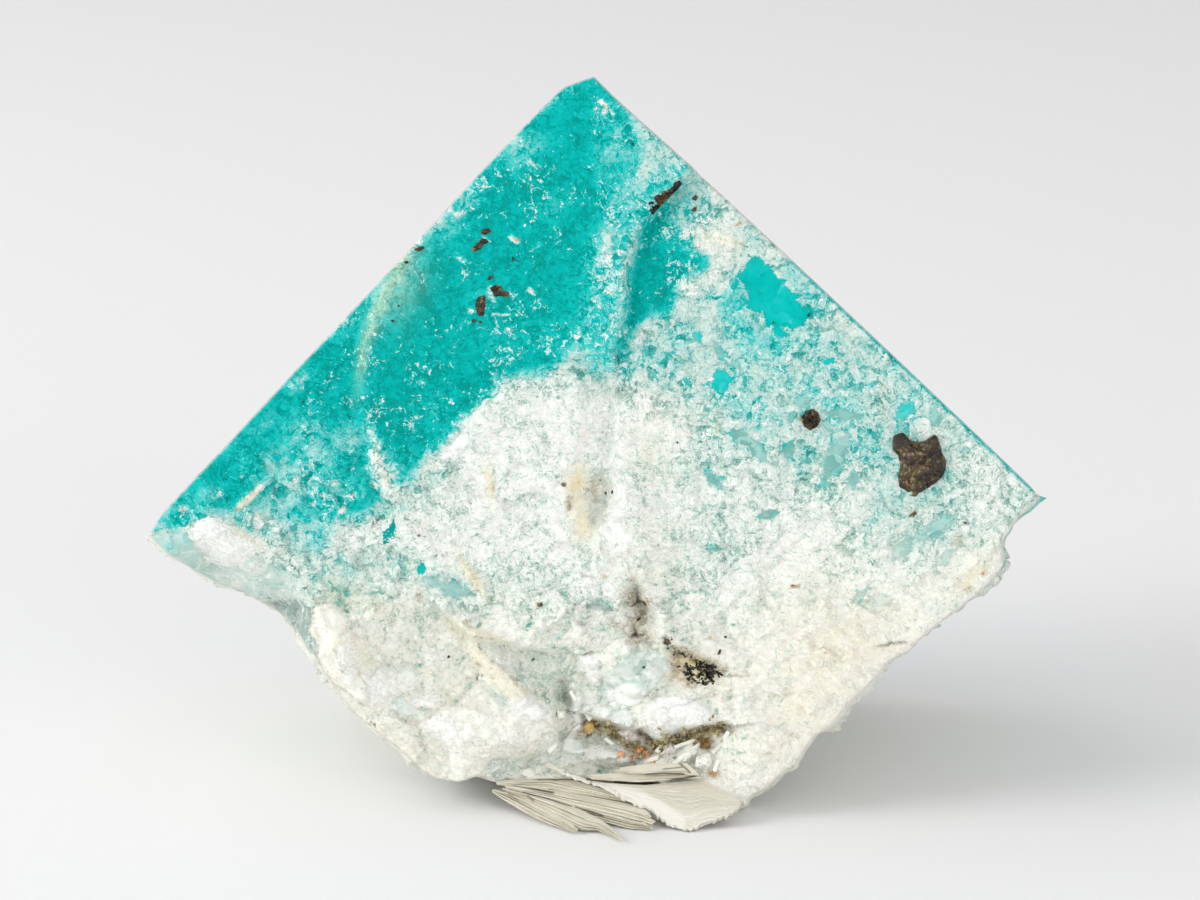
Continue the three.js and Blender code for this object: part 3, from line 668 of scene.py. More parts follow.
@dataclass(frozen=True)
class Block:
    """The cleaved feldspar block: a closed grid of a front face, four sides and a broken back."""

    shape: FaceShape = FaceShape()
    front_cells: int = 236
    side_rows: int = 56
    depth: float = 34.0
    cut_front: float = 0.25
    cut_back: float = 3.9
    pivot_height: float = -9.0
    corner_height: float = -24.5

    def patch(self, cells: int) -> tuple[Array, Array]:
        """The Coons patch of the outline: each point blends the four edges and takes away the corners.

        Args:
            cells: grid cells along each side.

        Returns:
            Across and up of (cells + 1) squared points. Rows run down from the upper left edge, columns
            from the lower left edge to the upper right one.
        """
        upper_left = resample(self.shape.upper_left, cells + 1)
        lower_right = resample(self.shape.lower_right, cells + 1)
        lower_left = resample(self.shape.lower_left, cells + 1)
        upper_right = resample(self.shape.upper_right, cells + 1)
        p = np.linspace(0.0, 1.0, cells + 1)[None, :]
        q = np.linspace(0.0, 1.0, cells + 1)[:, None]
        result = []
        for k in (0, 1):
            edges = ((1 - q) * upper_left[None, :, k] + q * lower_right[None, :, k]
                     + (1 - p) * lower_left[:, None, k] + p * upper_right[:, None, k])
            corners = ((1 - p) * (1 - q) * LEFT_TIP[k] + p * (1 - q) * TOP_TIP[k]
                       + (1 - p) * q * LOW_CORNER[k] + p * q * RIGHT_TIP[k])
            result.append(edges - corners)
        return result[0], result[1]

    def back_out(self, across: Array, up: Array) -> Array:
        """Depth of the broken back: two scoops, a diagonal ridge, a worn rim and fine breakage."""
        flat = np.stack([across, up, np.full_like(across, 40.0)], axis=1)
        scoops = (3.2 * np.exp(-(((across + 12) / 9) ** 2 + ((up + 4) / 8) ** 2))
                  + 2.6 * np.exp(-(((across - 13) / 8) ** 2 + ((up - 2) / 9) ** 2)))
        ridge = 1.6 * np.exp(-(((across + 0.6 * up - 1) / 3.5) ** 2))
        rim = 2.4 * smooth(12, 24, np.abs(across) * 0.7 + np.abs(up) * 0.8)
        broken = 0.9 * fractal(flat, 7.0, 3, 51, True) + 0.4 * facets(flat, 3.4, 61)
        return -self.depth + scoops - ridge + rim + broken

    def side_point(self, across: Array, up: Array, front: Array, back: Array,
                   share: Array, rough: Array) -> tuple[Array, Array, Array]:
        """Points of the sides, from the front edge at share 0 to the back edge at share 1.

        They shrink a little towards the back, bulge and break on the rough lower faces, step slightly on
        the smooth upper ones, and lift low down so that only a narrow foot reaches the ground.

        Args:
            across, up: the outline point.
            front, back: how far out the front and back edges lie there.
            share: the share of the way from front to back.
            rough: 1 on the broken lower faces, 0 on the crystal faces.

        Returns:
            Across, up and out of the points.
        """
        out = front + (back - front) * share
        place = np.stack([across, up, out], axis=1)
        belly = np.sin(np.pi * share)
        broken = (0.8 * fractal(place, 6.0, 3, 71, True) + 0.3 * facets(place, 2.6, 81)
                  + 0.12 * facets(place, 1.1, 91))
        long_steps = np.round(1.5 * fractal(place * [1.0, 1.0, 0.4], 9.0, 2, 101))
        stepped = 0.14 * long_steps + 0.02 * facets(place, 1.6, 95)
        relief = np.minimum(belly * 3.0, 1.0) * (rough * broken + (1.0 - rough) * stepped)
        reach = np.hypot(across, up + 2.0)
        shrink = 1.0 - 0.02 * share - 0.05 * smooth(0.8, 1.0, share) + relief / reach
        across = across * shrink
        up = -2.0 + (up + 2.0) * shrink
        cut = self.cut_front + (self.cut_back - self.cut_front) * share
        lift = np.maximum(-out * math.tan(math.radians(FACE.lean)) - cut, 0.0)
        up = up + lift * smooth(self.pivot_height, self.corner_height, up)
        return across, up, out

    def build(self, colouring: "Colouring") -> Object:
        """Joins the front grid, one row from its edge to half as many columns, the sides and the back.

        Args:
            colouring: stores the colour fields on the vertices.

        Returns:
            The block.
        """
        n, half, rows = self.front_cells, self.front_cells // 2, self.side_rows
        across, up = (part.ravel() for part in self.patch(n))
        steps = np.minimum(np.arange(n + 1), n - np.arange(n + 1))
        rim = np.minimum(steps[:, None], steps[None, :]).ravel()
        out = self.shape.heights(across, up) - 0.22 * (rim == 0) - 0.05 * (rim == 1)
        # the edge runs from the left tip along the upper left edge, then the upper right, and back below
        edge = edge_loop(np.arange((n + 1) ** 2).reshape(n + 1, n + 1))
        side_zone = np.repeat([Zone.UPPER.value, Zone.LOWER.value], n)
        rough = (side_zone == Zone.LOWER.value).astype(float)

        ring, columns = edge[::2], 2 * n
        back_across, back_up = (part.ravel() for part in self.patch(half))
        back_edge = edge_loop(np.arange((half + 1) ** 2).reshape(half + 1, half + 1))
        back_out = self.back_out(back_across, back_up)
        share = np.repeat(np.arange(1, rows) / rows, columns)
        starts = (across[ring], up[ring], out[ring], back_out[back_edge])
        side = self.side_point(*(np.tile(part, rows - 1) for part in starts), share, np.tile(rough, rows - 1))
        edge_rough = np.zeros_like(back_across)
        edge_rough[back_edge] = rough
        whole = np.ones_like(back_across)
        back = self.side_point(back_across, back_up, back_out, back_out, whole, edge_rough)

        verts = np.concatenate([FACE.place(across, up, out), FACE.place(*side), FACE.place(*back)])
        verts[:, 2] = np.maximum(verts[:, 2], 0.0)
        front_count, side_count = len(across), len(side[0])
        first = front_count + np.arange(columns)
        joint = np.stack([np.roll(ring, -1), edge[1::2], ring, first, np.roll(first, -1)], axis=1)
        rings = [front_count + row * columns + np.arange(columns) for row in range(rows - 1)]
        rings.append(front_count + side_count + back_edge)
        faces = grid_faces(n + 1, n + 1).tolist() + joint.tolist()
        for near, far in zip(rings[:-1], rings[1:]):
            faces += np.stack([np.roll(near, -1), near, far, np.roll(far, -1)], axis=1).tolist()
        faces += grid_faces(half + 1, half + 1, front_count + side_count)[:, ::-1].tolist()

        block = build_mesh("feldspar_block", verts, faces, 55.0)
        zone = np.concatenate([np.full(front_count, Zone.FRONT.value), np.tile(side_zone, rows - 1),
                               np.full(len(back_across), Zone.BACK.value)])
        far_in = np.full(side_count + len(back_across), 99)
        colouring.paint(block, verts, zone, np.concatenate([rim, far_in]))
        return block


# ---- colour zones


@dataclass(frozen=True)
class Colouring:
    """Where the block is teal, pale, cream, grey and stained, and where shade is painted grey and dark.
    Outlines and patches lie on the front face.

    Attributes:
        pale_level: the teal level of the white stone.
        stony: the teal levels between which a window shows grey-green stone.
        pale_share: how much of the teal level a pale patch takes away.
    """

    pale_level: float = 0.06
    stony: tuple[float, float] = (0.2, 0.53)
    pale_share: float = 0.42
    fleck_patches: Patches = patches(
        (-6, 18.8, 2.2, 1.6, 0.6, 40), (-4.5, 16.8, 1.6, 1.4, 0.3), (0.2, 22.8, 1, 1.2, 0.7),
        (-2.8, 16, 2.4, 1.6, 0.35, 30), (-4, 13.6, 3.5, 1.4, 0.25), (-7.4, 9.4, 1.8, 1.6, 0.38),
        (-2.2, 7.6, 3, 1.8, 0.4, 30), (-5.2, 6.8, 2.5, 1, 0.45, 20), (1, 12, 1.3, 6.5, 0.7),
        (3.4, 13.5, 1.6, 2.4, 0.3), (-12.5, 1.5, 3, 2.4, 0.3), (-15.2, 6.5, 0.8, 4.5, 0.6),
        (-16, -2.6, 2.2, 1.4, 0.3), (-20, -1.2, 3.4, 2.4, 0.25), (-19, 3.8, 3, 1.2, 0.35, 45),
        (6.6, 15, 1.8, 2.2, 0.8), (6, 11, 1.2, 1.9, 0.8), (-24, -3.4, 2, 1.2, 0.3),
        (-10.5, 5.5, 2, 2, 0.25), (-9, 3.6, 1.4, 1, 0.45), (12.5, 10, 1, 0.8, 0.2))
    centre_field: Points2 = path(
        -14.2, 11.7, -11, 15.4, -8, 18.6, -5, 21.9, -2.5, 24.4, -0.4, 25.4, 1.6, 23.4, 2.3, 21.5, 2.4, 20,
        2.1, 18.6, 1.5, 17.7, 1.2, 16.2, 0.7, 15, 0.2, 14.1, 0.1, 12.6, 0.3, 11.1, -0.4, 9.6, -1.1, 8,
        -1.6, 7, -2.4, 6, -3.4, 5.5, -4.2, 5.2, -6.3, 4.9, -7, 4.3, -8.3, 2.8, -9, 2.3, -10.2, 1, -11, 0,
        -11.9, -1, -12.8, -2.1, -13.5, -2.3, -13.9, -1.4, -14.2, -0.4, -14.6, 0.5, -15.1, 1.3, -15.6, 2.4,
        -16, 5.2, -15.8, 7.3, -15.3, 8.4, -15, 9.4, -14.6, 10.2)
    left_field: Points2 = path(
        -30.5, -5.6, -29, -3.8, -27, -1.5, -25, 0.5, -23, 3, -20, 5.9, -17, 9.2, -14, 12.2, -13, 11,
        -13.5, 9.2, -14.1, 7.3, -14.5, 5.2, -14.9, 3, -15.6, 1.5, -15.3, 0.5, -15.3, -1.3, -14.8, -2.4,
        -14.5, -3.3, -15.4, -3.7, -17.3, -4.3, -19.4, -4.6, -22, -4.4, -24, -4.1, -25.6, -4, -26.6, -4.3,
        -27.2, -4.8, -28, -5.2, -29.2, -5.4)
    left_haze: Points2 = path(
        -26, -4.2, -24, -3.6, -20, -3.6, -16, -3.4, -15.8, -4.6, -17.4, -5.7, -18.6, -6.4, -19.4, -7.2,
        -21, -6.9, -23, -5.9, -24.8, -4.9)
    strip: Points2 = path(
        3.6, 15.8, 5.1, 15.2, 6, 14, 5.7, 13.3, 7.3, 12.9, 7.1, 12.4, 5.9, 11.7, 5.1, 11.3, 5, 9.9,
        4.4, 9.1, 3, 8.7, 2.2, 8, 1.6, 7, 1.3, 6.9, 1.4, 8, 1.6, 9.2, 1.9, 11, 2.1, 12.5, 2.4, 13.2,
        2.8, 14.8)
    right_field: Points2 = path(
        3, 7, 5.4, 9.5, 7.6, 12, 9, 16.5, 10, 16, 18, 8.5, 26, 0.9, 30, -3, 28, -5, 23, -6.5, 18, -5,
        13, -1.5, 8, 1.5, 4, 4.5)
    window: Points2 = path(
        9.1, 11.6, 9.7, 12.4, 10.3, 13, 10.9, 12.6, 11.9, 11.5, 12.3, 11.2, 12.8, 10.5, 13.4, 10.4,
        13, 10, 13.7, 9.6, 14, 9.2, 13.4, 8.3, 12.9, 8.1, 12.3, 8.3, 11.6, 8.1, 11.1, 8.4, 10.9, 9.3,
        10.2, 9.2, 9.8, 9.6, 9.9, 10.4, 9.6, 11.1)
    windows: Patches = patches(
        (8, 4.5, 0.9, 0.7, 0.66, 20), (5.75, 4.6, 0.25, 0.33, 0.7), (10, 7, 0.45, 0.16, 0.6, 15),
        (9, 5.6, 0.65, 0.1, 0.5, -40), (15.3, 5.9, 0.45, 0.22, 0.7), (18, 4.3, 0.22, 0.25, 0.6),
        (16.2, 2.35, 1.2, 0.35, 0.52, -8), (20.3, 2.6, 0.8, 0.45, 0.55, 35), (22.3, 2.2, 0.4, 0.6, 0.5),
        (-13.95, -5.45, 0.72, 0.3, 0.95, 62), (-26.9, -6.9, 0.22, 0.45, 0.9, 15),
        (-23.9, -7.9, 0.3, 0.12, 0.7), (-11.9, -7.95, 0.28, 0.34, 0.85), (11.9, 7.9, 0.6, 0.3, 0.75, -35),
        (10.3, 0.2, 1.1, 0.45, 0.45, -52), (15.7, -0.5, 1.7, 0.65, 0.41, 62),
        (12.6, -0.1, 0.35, 0.5, 0.45, -20), (7.6, -2.1, 0.8, 0.3, 0.42, -50),
        (16.9, -2, 0.3, 0.5, 0.38, 10), (11.2, -4.2, 0.5, 0.3, 0.4, 20), (7.6, -6.5, 0.4, 0.3, 0.42),
        (22.3, -5.3, 1.4, 0.5, 0.32, 35), (17.2, -9.7, 0.8, 0.2, 0.4, 40),
        (22.9, -7.2, 0.9, 0.35, 0.28, 40), (13.6, 3.2, 0.5, 0.3, 0.4, 30),
        (20.2, -6.6, 1.1, 0.45, 0.3, 50), (18.5, -10.2, 1, 0.6, 0.22, 20),
        (-9.7, -9.3, 1.3, 0.45, 0.36, -20), (-11.2, -8.8, 0.6, 0.35, 0.38, -30),
        (7.7, 6.9, 0.7, 0.15, 0.45, -70), (3.6, -13.9, 1, 0.7, 0.16, 30), (2, -15.3, 1.5, 0.7, 0.12, -10),
        (1.8, -13.3, 0.8, 0.45, 0.14, 20), (-13.3, -17.2, 0.9, 0.4, 0.12, -15),
        (-6.8, -16.9, 0.6, 0.35, 0.13, -30), (-17.7, -11.6, 0.9, 1.3, 0.02, 20),
        (-16.4, -15.2, 0.7, 1.2, 0.02, 30), (9.3, 0.9, 0.7, 0.4, 0.48, -45), (12.9, 4.7, 0.3, 0.2, 0.5),
        (6.5, 7.6, 0.25, 0.35, 0.6, 10))
    pale_patches: Patches = patches(
        (-10.2, 14.9, 1.5, 1.1, 0.7, 45), (-12.8, 12.6, 1.4, 0.9, 0.4, 45), (-8.8, 16.6, 1, 0.8, 0.7, 45),
        (-17, 8.5, 1, 0.5, 1, 45), (-20, 4.6, 0.9, 0.5, 1, 45), (-22.6, 1.6, 1.6, 0.5, 0.4, 45),
        (-5, 20, 1.6, 1.1, 0.9, 40), (-3.4, 16.2, 1.6, 1, 0.4, 30), (0.3, 22.6, 0.9, 1, 0.8),
        (1.2, 20.2, 1.4, 1.2, 0.9, 30), (0.4, 18.4, 1, 1.4, 0.5, 20), (-15.2, 8.4, 0.6, 1.8, 0.3, -18),
        (-15.7, 4.2, 0.4, 2.8, 0.3, 5), (-14.9, 0.2, 0.4, 2, 0.15, -8), (-14.4, 10.6, 0.9, 1.6, 0.5, -35),
        (-14, -2.2, 0.9, 1, 0.25), (1.2, 16.8, 0.8, 1.6, 0.5, -20), (0.7, 14.6, 0.7, 1.5, 0.4),
        (-0.3, 12.4, 0.9, 2, 0.7), (-0.6, 9.4, 0.9, 1.6, 0.6), (-19.4, -0.2, 2.4, 1.4, 0.7, 15),
        (-19.6, 1.6, 1.6, 1.2, 0.6), (-22.4, -4.4, 2.6, 0.8, 0.25, -10),
        (-21.6, -3.2, 2.4, 1.2, 0.75, 45), (-17.3, -3.4, 1.8, 1.2, 0.5, 10), (-16.6, 0.6, 0.9, 1.2, 0.8),
        (-27.3, -3.4, 1.1, 0.8, 0.3, 45), (-6, 7.6, 2.5, 1.2, 0.35, 20), (-2.2, 8.4, 1.3, 2.2, 0.2, -20),
        (-7.6, 10.2, 1.6, 1, 0.4, 20), (-29, -4.8, 0.9, 0.6, 0.6, 45), (-10.8, 2.6, 1.5, 1.2, 0.35, 40),
        (4.9, 13.4, 0.8, 1.6, 0.3, 20), (-23.6, -1, 0.9, 1.2, 0.5, 30), (-25.8, -3, 1.2, 0.6, 0.5, 20),
        (-19, -2.6, 2.6, 1.6, 0.6, 10), (-12.9, -1.2, 1.4, 1.8, 0.5), (-22, -1, 1, 1, 0.5),
        (-20.9, -6.2, 1.2, 0.8, 0.5), (-15.2, -4, 2, 0.6, -0.7), (-3, 23.6, 1.4, 0.8, 0.4, 40),
        (1.8, 21.6, 1.2, 0.8, 0.3, -43), (9, 10, 1, 1.4, -0.6), (10.8, 7.2, 1.4, 1, -0.5),
        (13.2, 11.4, 1.4, 0.8, -0.5, -43), (22.2, 1.4, 1.4, 1.2, 0.45), (25.8, -2.2, 2.6, 2, 0.5, -40),
        (16.6, -1.6, 1.6, 1.4, 0.4), (18.8, 3.4, 0.8, 1.6, 0.35), (23.2, -4.4, 2.2, 1.2, 0.3),
        (13.4, 0.6, 1, 0.6, 0.3), (-13.4, 10.4, 1.1, 2.2, 0.3, -30), (0.7, 13.3, 0.6, 1.4, 0.42))
    aqua_patches: Patches = patches(
        (21, 3.4, 3.2, 1.6, 0.16, -43), (3.5, 6.2, 4, 2, 0.26, 20), (8.5, 8, 3, 2.2, 0.1),
        (15, 0.5, 7, 4, 0.12, -30), (20.5, -5.5, 5, 3, 0.12, 30), (7, 1.5, 5, 3, 0.04),
        (5, 16.6, 3, 2.4, 0.42), (4, 19.8, 2.4, 1.5, 0.42, -43), (0.8, 14.5, 1.4, 6.5, 0.6, -8),
        (-0.2, 8, 1.8, 3, 0.42), (6, 9, 2.6, 3, 0.18), (-14.4, -1, 1, 2.2, 0.18, 10),
        (-4.5, 4.2, 3, 0.8, 0.12, 20), (-10.8, -1.6, 2.4, 0.9, 0.12, 45), (-22.5, -7.4, 4, 1.2, 0.1, -35),
        (-18, -8.6, 3.4, 2, 0.16, -30), (-15, -7.4, 3.2, 2.2, 0.17, -20), (-11, -8.4, 3.4, 2, 0.08, -10),
        (-4.5, -8.6, 3.4, 1.6, 0.06), (7, -7, 3.6, 2.4, 0.08), (6.6, -1.2, 3, 3.4, 0.1, -40),
        (5.2, -5.2, 2.6, 2.4, 0.04), (10.5, -3.5, 3, 2.6, 0.06), (-12, -2.4, 1.8, 1.6, 0.2, 40),
        (-10, -9, 3, 1.2, 0.08, -15), (-29, -6, 1.6, 0.8, 0.3, -40), (17.5, 6.6, 2.6, 0.7, 0.2, -43),
        (25, -2.5, 2.6, 1.6, 0.1))
    cream_patches: Patches = patches(
        (14.5, -12, 4.5, 6, 0.7, -25), (19.5, -11.5, 6, 1.6, 0.6, 41), (25.5, -7.5, 2.6, 1.4, 0.7, 45),
        (3.4, 0.5, 1.8, 3, 0.45), (3.5, -7, 2.2, 3.2, 0.5), (-9, -19, 3.4, 3, 0.5),
        (-16.8, -14.2, 2.6, 3.6, 0.7, 30), (-6.2, -14.6, 3.6, 0.8, 1, -40),
        (-8, -12.2, 1.8, 0.4, 1.2, -12), (-1.3, -3.6, 1, 2.4, 0.7), (-7.3, -2.2, 0.35, 1.5, 0.9, 8),
        (-8.6, -8.4, 0.35, 1.7, 1.1, 35), (7.4, 14, 2.4, 0.7, 0.5, -20), (-12.6, 11.8, 1.6, 0.8, 0.5, 40),
        (-23.3, -3.1, 1.2, 0.25, 1.2, 45), (-12.2, -9.8, 0.35, 1.2, 0.9, 10), (8.2, -23, 2, 1.4, 0.5),
        (-13.5, -20.4, 3.6, 1, 0.8, -38), (5.4, -14.9, 0.9, 0.9, 1.1), (12.8, -18.6, 1.8, 3, 0.5, -40))
    straw_patches: Patches = patches(
        (-13.2, 12.2, 0.5, 1.8, 0.3, -38), (-14.8, 9.2, 0.45, 2, 0.32, -22),
        (-15.8, 6.2, 0.3, 2, 0.25, -8), (-13.2, 10.4, 1.2, 2, 0.16, -30), (-1.5, -2.4, 0.7, 1.1, 0.62),
        (-1, -4.8, 0.7, 0.9, 0.55), (-7.35, -2.2, 0.25, 1.2, 0.5, 8), (-8.5, -8.4, 0.3, 1.5, 0.6, 35),
        (-23.3, -3.1, 1, 0.16, 0.5, 45), (6.3, -14.4, 1.7, 0.7, 0.9, -28),
        (-8, -12.4, 1.2, 0.25, 0.35, -12), (-6.8, -15, 1.8, 0.35, 0.35, -42),
        (8.4, 14, 1.2, 0.3, 0.3, -10), (-17.4, -9.6, 1.4, 0.9, 0.2, -20),
        (-14.6, -10.6, 1.4, 0.8, 0.22, -10), (16, -12.6, 1.6, 2.4, 0.12, -20), (7.9, 2, 0.2, 0.8, 0.3),
        (3.2, -0.3, 0.3, 0.6, 0.3), (24.6, -8.6, 1.4, 0.4, 0.35, 42), (-9.2, -19.4, 2.4, 1.6, 0.07),
        (-17.6, -12.6, 1.2, 2.6, 0.08, 20))
    # grey tint of the stone, and painted shade in hollows, under the shelf and in the crevices
    grey_and_shade_patches: Patches = patches(
        (-2.7, -17, 0.7, 2.2, 0.7, 8), (-5, -20.8, 2.2, 1, 0.5), (2.7, -11, 1, 1.9, 0.6, 8),
        (0.4, -3, 0.9, 2, 0.7), (0.6, 0.8, 0.8, 1.8, 0.5), (-21.5, -10, 3.6, 1.2, 0.6, -38),
        (-26, -8.2, 3, 0.8, 0.5, -30), (-1, -19.6, 2.4, 0.8, 0.5), (1.5, -20.2, 3, 0.6, 0.8),
        (4, 19.6, 1.9, 1.2, 0.5, -40), (-20.2, -12, 1.3, 1.3, 0.5))
    rust_spots: Patches = patches(
        (2.8, -20.45, 0.9, 0.28, 1, -5), (1.5, -20.4, 0.2, 0.2, 1), (2.1, -20.6, 0.2, 0.15, 1),
        (-1.3, -19, 0.3, 0.2, 0.7), (25.6, -8.2, 0.3, 0.18, 1, 40), (24.5, -9.3, 0.4, 0.15, 0.8, 40),
        (9.3, 15.1, 0.7, 0.15, 0.7, 15), (13, -9.1, 0.35, 0.15, 1, 20), (-5.55, 14, 0.22, 0.14, 1),
        (0.3, -8.4, 0.25, 0.13, 1, -10), (7.4, -12.6, 0.13, 0.4, 0.9, 25),
        (19.6, -12.95, 1, 0.07, 0.9, 3), (9.2, -15, 0.9, 0.05, 0.7), (-24.15, -3.95, 0.2, 0.12, 1, 45),
        (7.6, -21.6, 0.45, 0.35, 1.3), (-12, -9.7, 0.12, 0.5, 0.8, 5), (13.4, 2.1, 0.2, 0.16, 1),
        (3.3, -10, 0.16, 0.25, 0.8), (5.2, 17.9, 0.25, 0.12, 0.6, 30), (23.8, -6, 0.5, 0.6, 0.35),
        (-8.1, -14.25, 0.3, 0.16, 0.7, -40), (-7.2, -15.2, 0.2, 0.12, 0.6, -30),
        (-8.3, -12.4, 0.5, 0.12, 0.4, -12), (-6.9, -9.9, 0.16, 0.3, 0.4, 20))
    cream_lines: Strokes = strokes(
        (0.18, 0.45, -12.2, 13.8, -13.2, 12.7, -14.3, 10.9, -15.3, 8.9, -16, 6.6, -16.2, 4.6, -16.1, 2.8),
        (0.16, 1, -22.6, -2.4, -23.4, -3.2, -24, -3.7),
        (0.7, 1.05, -1.5, -1.4, -1.4, -3, -1.2, -4.4, -0.9, -5.6),
        (0.25, 0.8, -24.8, -5.1, -23.6, -5.8, -22.4, -6.5),
        (0.7, 0.9, -17.4, -17.2, -15.4, -18.6, -13.6, -19.6, -12.2, -20.8, -11, -21.6),
        (0.12, 0.6, 8.8, 13.6, 8.2, 11.4, 7.3, 8.5))
    teal_lines: Strokes = strokes(
        (0.24, 0.6, 12.8, 12.6, 18, 7.75, 26, 0.15, 28.9, -2.6),)
    white_lines: Strokes = strokes(
        (0.18, 1, -22.6, -2.4, -23.4, -3.2, -24, -3.7), (0.2, 1, -17.2, -4, -17, -3.9),
        (0.16, 0.9, -18.6, -3.1, -18.3, -3.2), (0.14, 0.9, -16.6, -3.1, -16.3, -2.9),
        (0.14, 0.8, -19.2, -3.7, -19, -3.5), (0.14, 0.8, -22.9, -4.6, -22.7, -5.2),
        (0.15, 0.8, -21.7, -5.2, -21.5, -5.7), (0.14, 0.9, -15.1, -2.2, -14.9, -2.5),
        (0.13, 0.8, -17.9, -2.2, -17.6, -2), (0.16, 0.7, -20.4, -2, -20.1, -1.8),
        (0.25, 0.8, -27.9, -3.9, -27.6, -4.1), (0.13, 0.9, 0, 23.2, 0.4, 22.9, 0.3, 22.4),
        (0.09, 0.9, -7.1, 8.9, -6, 9.1, -5.3, 9.7), (0.12, 0.8, -8.9, 9.2, -8.4, 9.3),
        (0.12, 0.8, -7.4, 10.9, -7.3, 10.4, -7, 9.8), (0.1, 0.9, -5.9, 8.2, -5.8, 7.6),
        (0.12, 0.9, -9.5, 12.8, -9.2, 12.6), (0.16, 0.9, -4.8, 10.6, -4.4, 10.3),
        (0.14, 0.9, -6, 14.2, -5.4, 13.9), (0.12, 0.8, -4.6, 19.2, -4, 18.8),
        (0.16, 0.8, -9.6, 15.6, -9, 15.9), (0.16, 0.5, -7.9, 14.2, -7.5, 14))
    # dark mineral in the crevices, and painted shade as thin lines at the feet of steps and raised panels
    dark_and_shade_lines: Strokes = strokes(
        (0.1, 0.7, -0.3, -18.5, 0.6, -18.6, 1.2, -19), (0.12, 0.6, 1.3, -19.5, 2, -20),
        (0.14, 1.1, 2.7, -18.85, 3.3, -19.25, 3.9, -19.75, 4.15, -20.2),
        (0.14, 0.9, 5.2, -19.4, 5.8, -19.2, 6.4, -19.1), (0.1, 0.8, 7, -18.7, 7.3, -18.6),
        (0.2, 0.7, 6.6, -19.5, 7.15, -19.7), (0.12, 1.1, 5, -20.6, 5.7, -21.1, 6.4, -21.7),
        (0.16, 0.7, 4.3, -12.5, 4.7, -13.1, 5.6, -13.6, 6.4, -14.1),
        (0.14, 1, -1.15, -18.4, -0.75, -18.1, -0.4, -18.5, -0.4, -19, -0.8, -19.3),
        (0.2, 0.3, -8, -21.9, -6.6, -22.3, -5, -22),
        (0.09, 0.4, -8.1, -12.95, -7.3, -13.9, -6.3, -14.85, -5.3, -15.85, -4.5, -16.25),
        (0.07, 0.35, -19.2, -10.6, -18.75, -12.9, -18.6, -14.7, -17.2, -16, -15.6, -17.1),
        (0.08, 1, -2.2, -17.3, -2, -17.7), (0.07, 0.8, 18.5, -13.1, 19.4, -12.9, 20.4, -12.9),
        (0.05, 0.35, 8.3, -15, 10.2, -15), (0.1, 0.9, 27, -7.4, 27.3, -6.7, 27.7, -6),
        (0.07, 0.25, -16.9, -1.2, -15.4, -2, -14.6, -3.2), (0.1, 0.9, 2.2, -10.3, 2.7, -10.1),
        (0.08, 0.5, 1.6, -10.9, 2.4, -11.3), (0.1, 0.9, 2.2, -12.2, 2.8, -12.4),
        (0.1, 0.35, -1, -10.5, -0.2, -10.3, 0.6, -10.6), (0.06, 0.9, -15.3, -5.3, -14.9, -4.5),
        (0.1, 0.9, -14.9, -7.1, -14.6, -7), (0.08, 0.9, -12.15, -9.5, -12, -10),
        (0.12, 0.3, -19.6, -9.2, -19, -9.9, -18.7, -10.1), (0.14, 0.35, -1.4, -11.6, -0.4, -12.6))
    brown_lines: Strokes = strokes(
        (0.5, 1, -0.5, -18.6, 0.6, -18.7, 1.3, -19.2, 2, -19.8, 2.8, -20.3),
        (0.3, 0.8, 2.7, -18.9, 3.4, -19.5, 4.1, -20.1),
        (0.42, 0.75, 5, -19.5, 5.8, -19.15, 7, -18.8, 8.2, -18.55), (0.4, 1, 6.5, -19.45, 7.2, -19.7),
        (0.4, 0.4, 2.2, -8.6, 2.6, -9.4),
        (0.7, 0.6, 2, -9.7, 2.6, -10.3, 2.7, -11.2, 2.3, -12.2, 3.1, -12.7),
        (0.3, 0.4, 0.6, -11.4, 1.4, -11.8), (0.4, 0.75, 5, -13.6, 5.5, -15, 6.2, -15.7),
        (0.35, 0.75, 5, -13.3, 6.4, -13.9, 8.2, -14.6), (0.3, 0.5, 8.2, -18.4, 8.8, -18.8),
        (0.3, 0.5, -1.4, -19.1, -0.8, -19.4), (0.16, 0.9, -2.05, -3.2, -1.95, -4.1),
        (0.22, 0.45, -0.4, -2.2, -0.1, -3.4), (0.14, 0.5, -13.2, -9.2, -13.6, -9.9),
        (0.3, 0.25, -2, -17.6, -2.2, -18.6, -2.6, -19.6))

    def paint(self, block: Object, verts: Array, zone: Array, rim: Array) -> None:
        """Stores the colour fields on the block's vertices.

        Args:
            block: the block.
            verts: (n, 3) places in metres.
            zone: which face each vertex lies on.
            rim: grid cells from the front face's edge.
        """
        local = verts / MM - np.array(FACE.centre)
        across, up, out = (local @ axis for axis in FACE.axes())
        fields = self.on_front(across, up)
        beyond = self.elsewhere(across, up, out, zone)
        for name, values in fields.items():
            set_attribute(block, name, np.where(zone == Zone.FRONT.value, values, beyond.get(name, 0.0)))
        set_attribute(block, "rim", np.clip(rim, 0.0, 6.0))

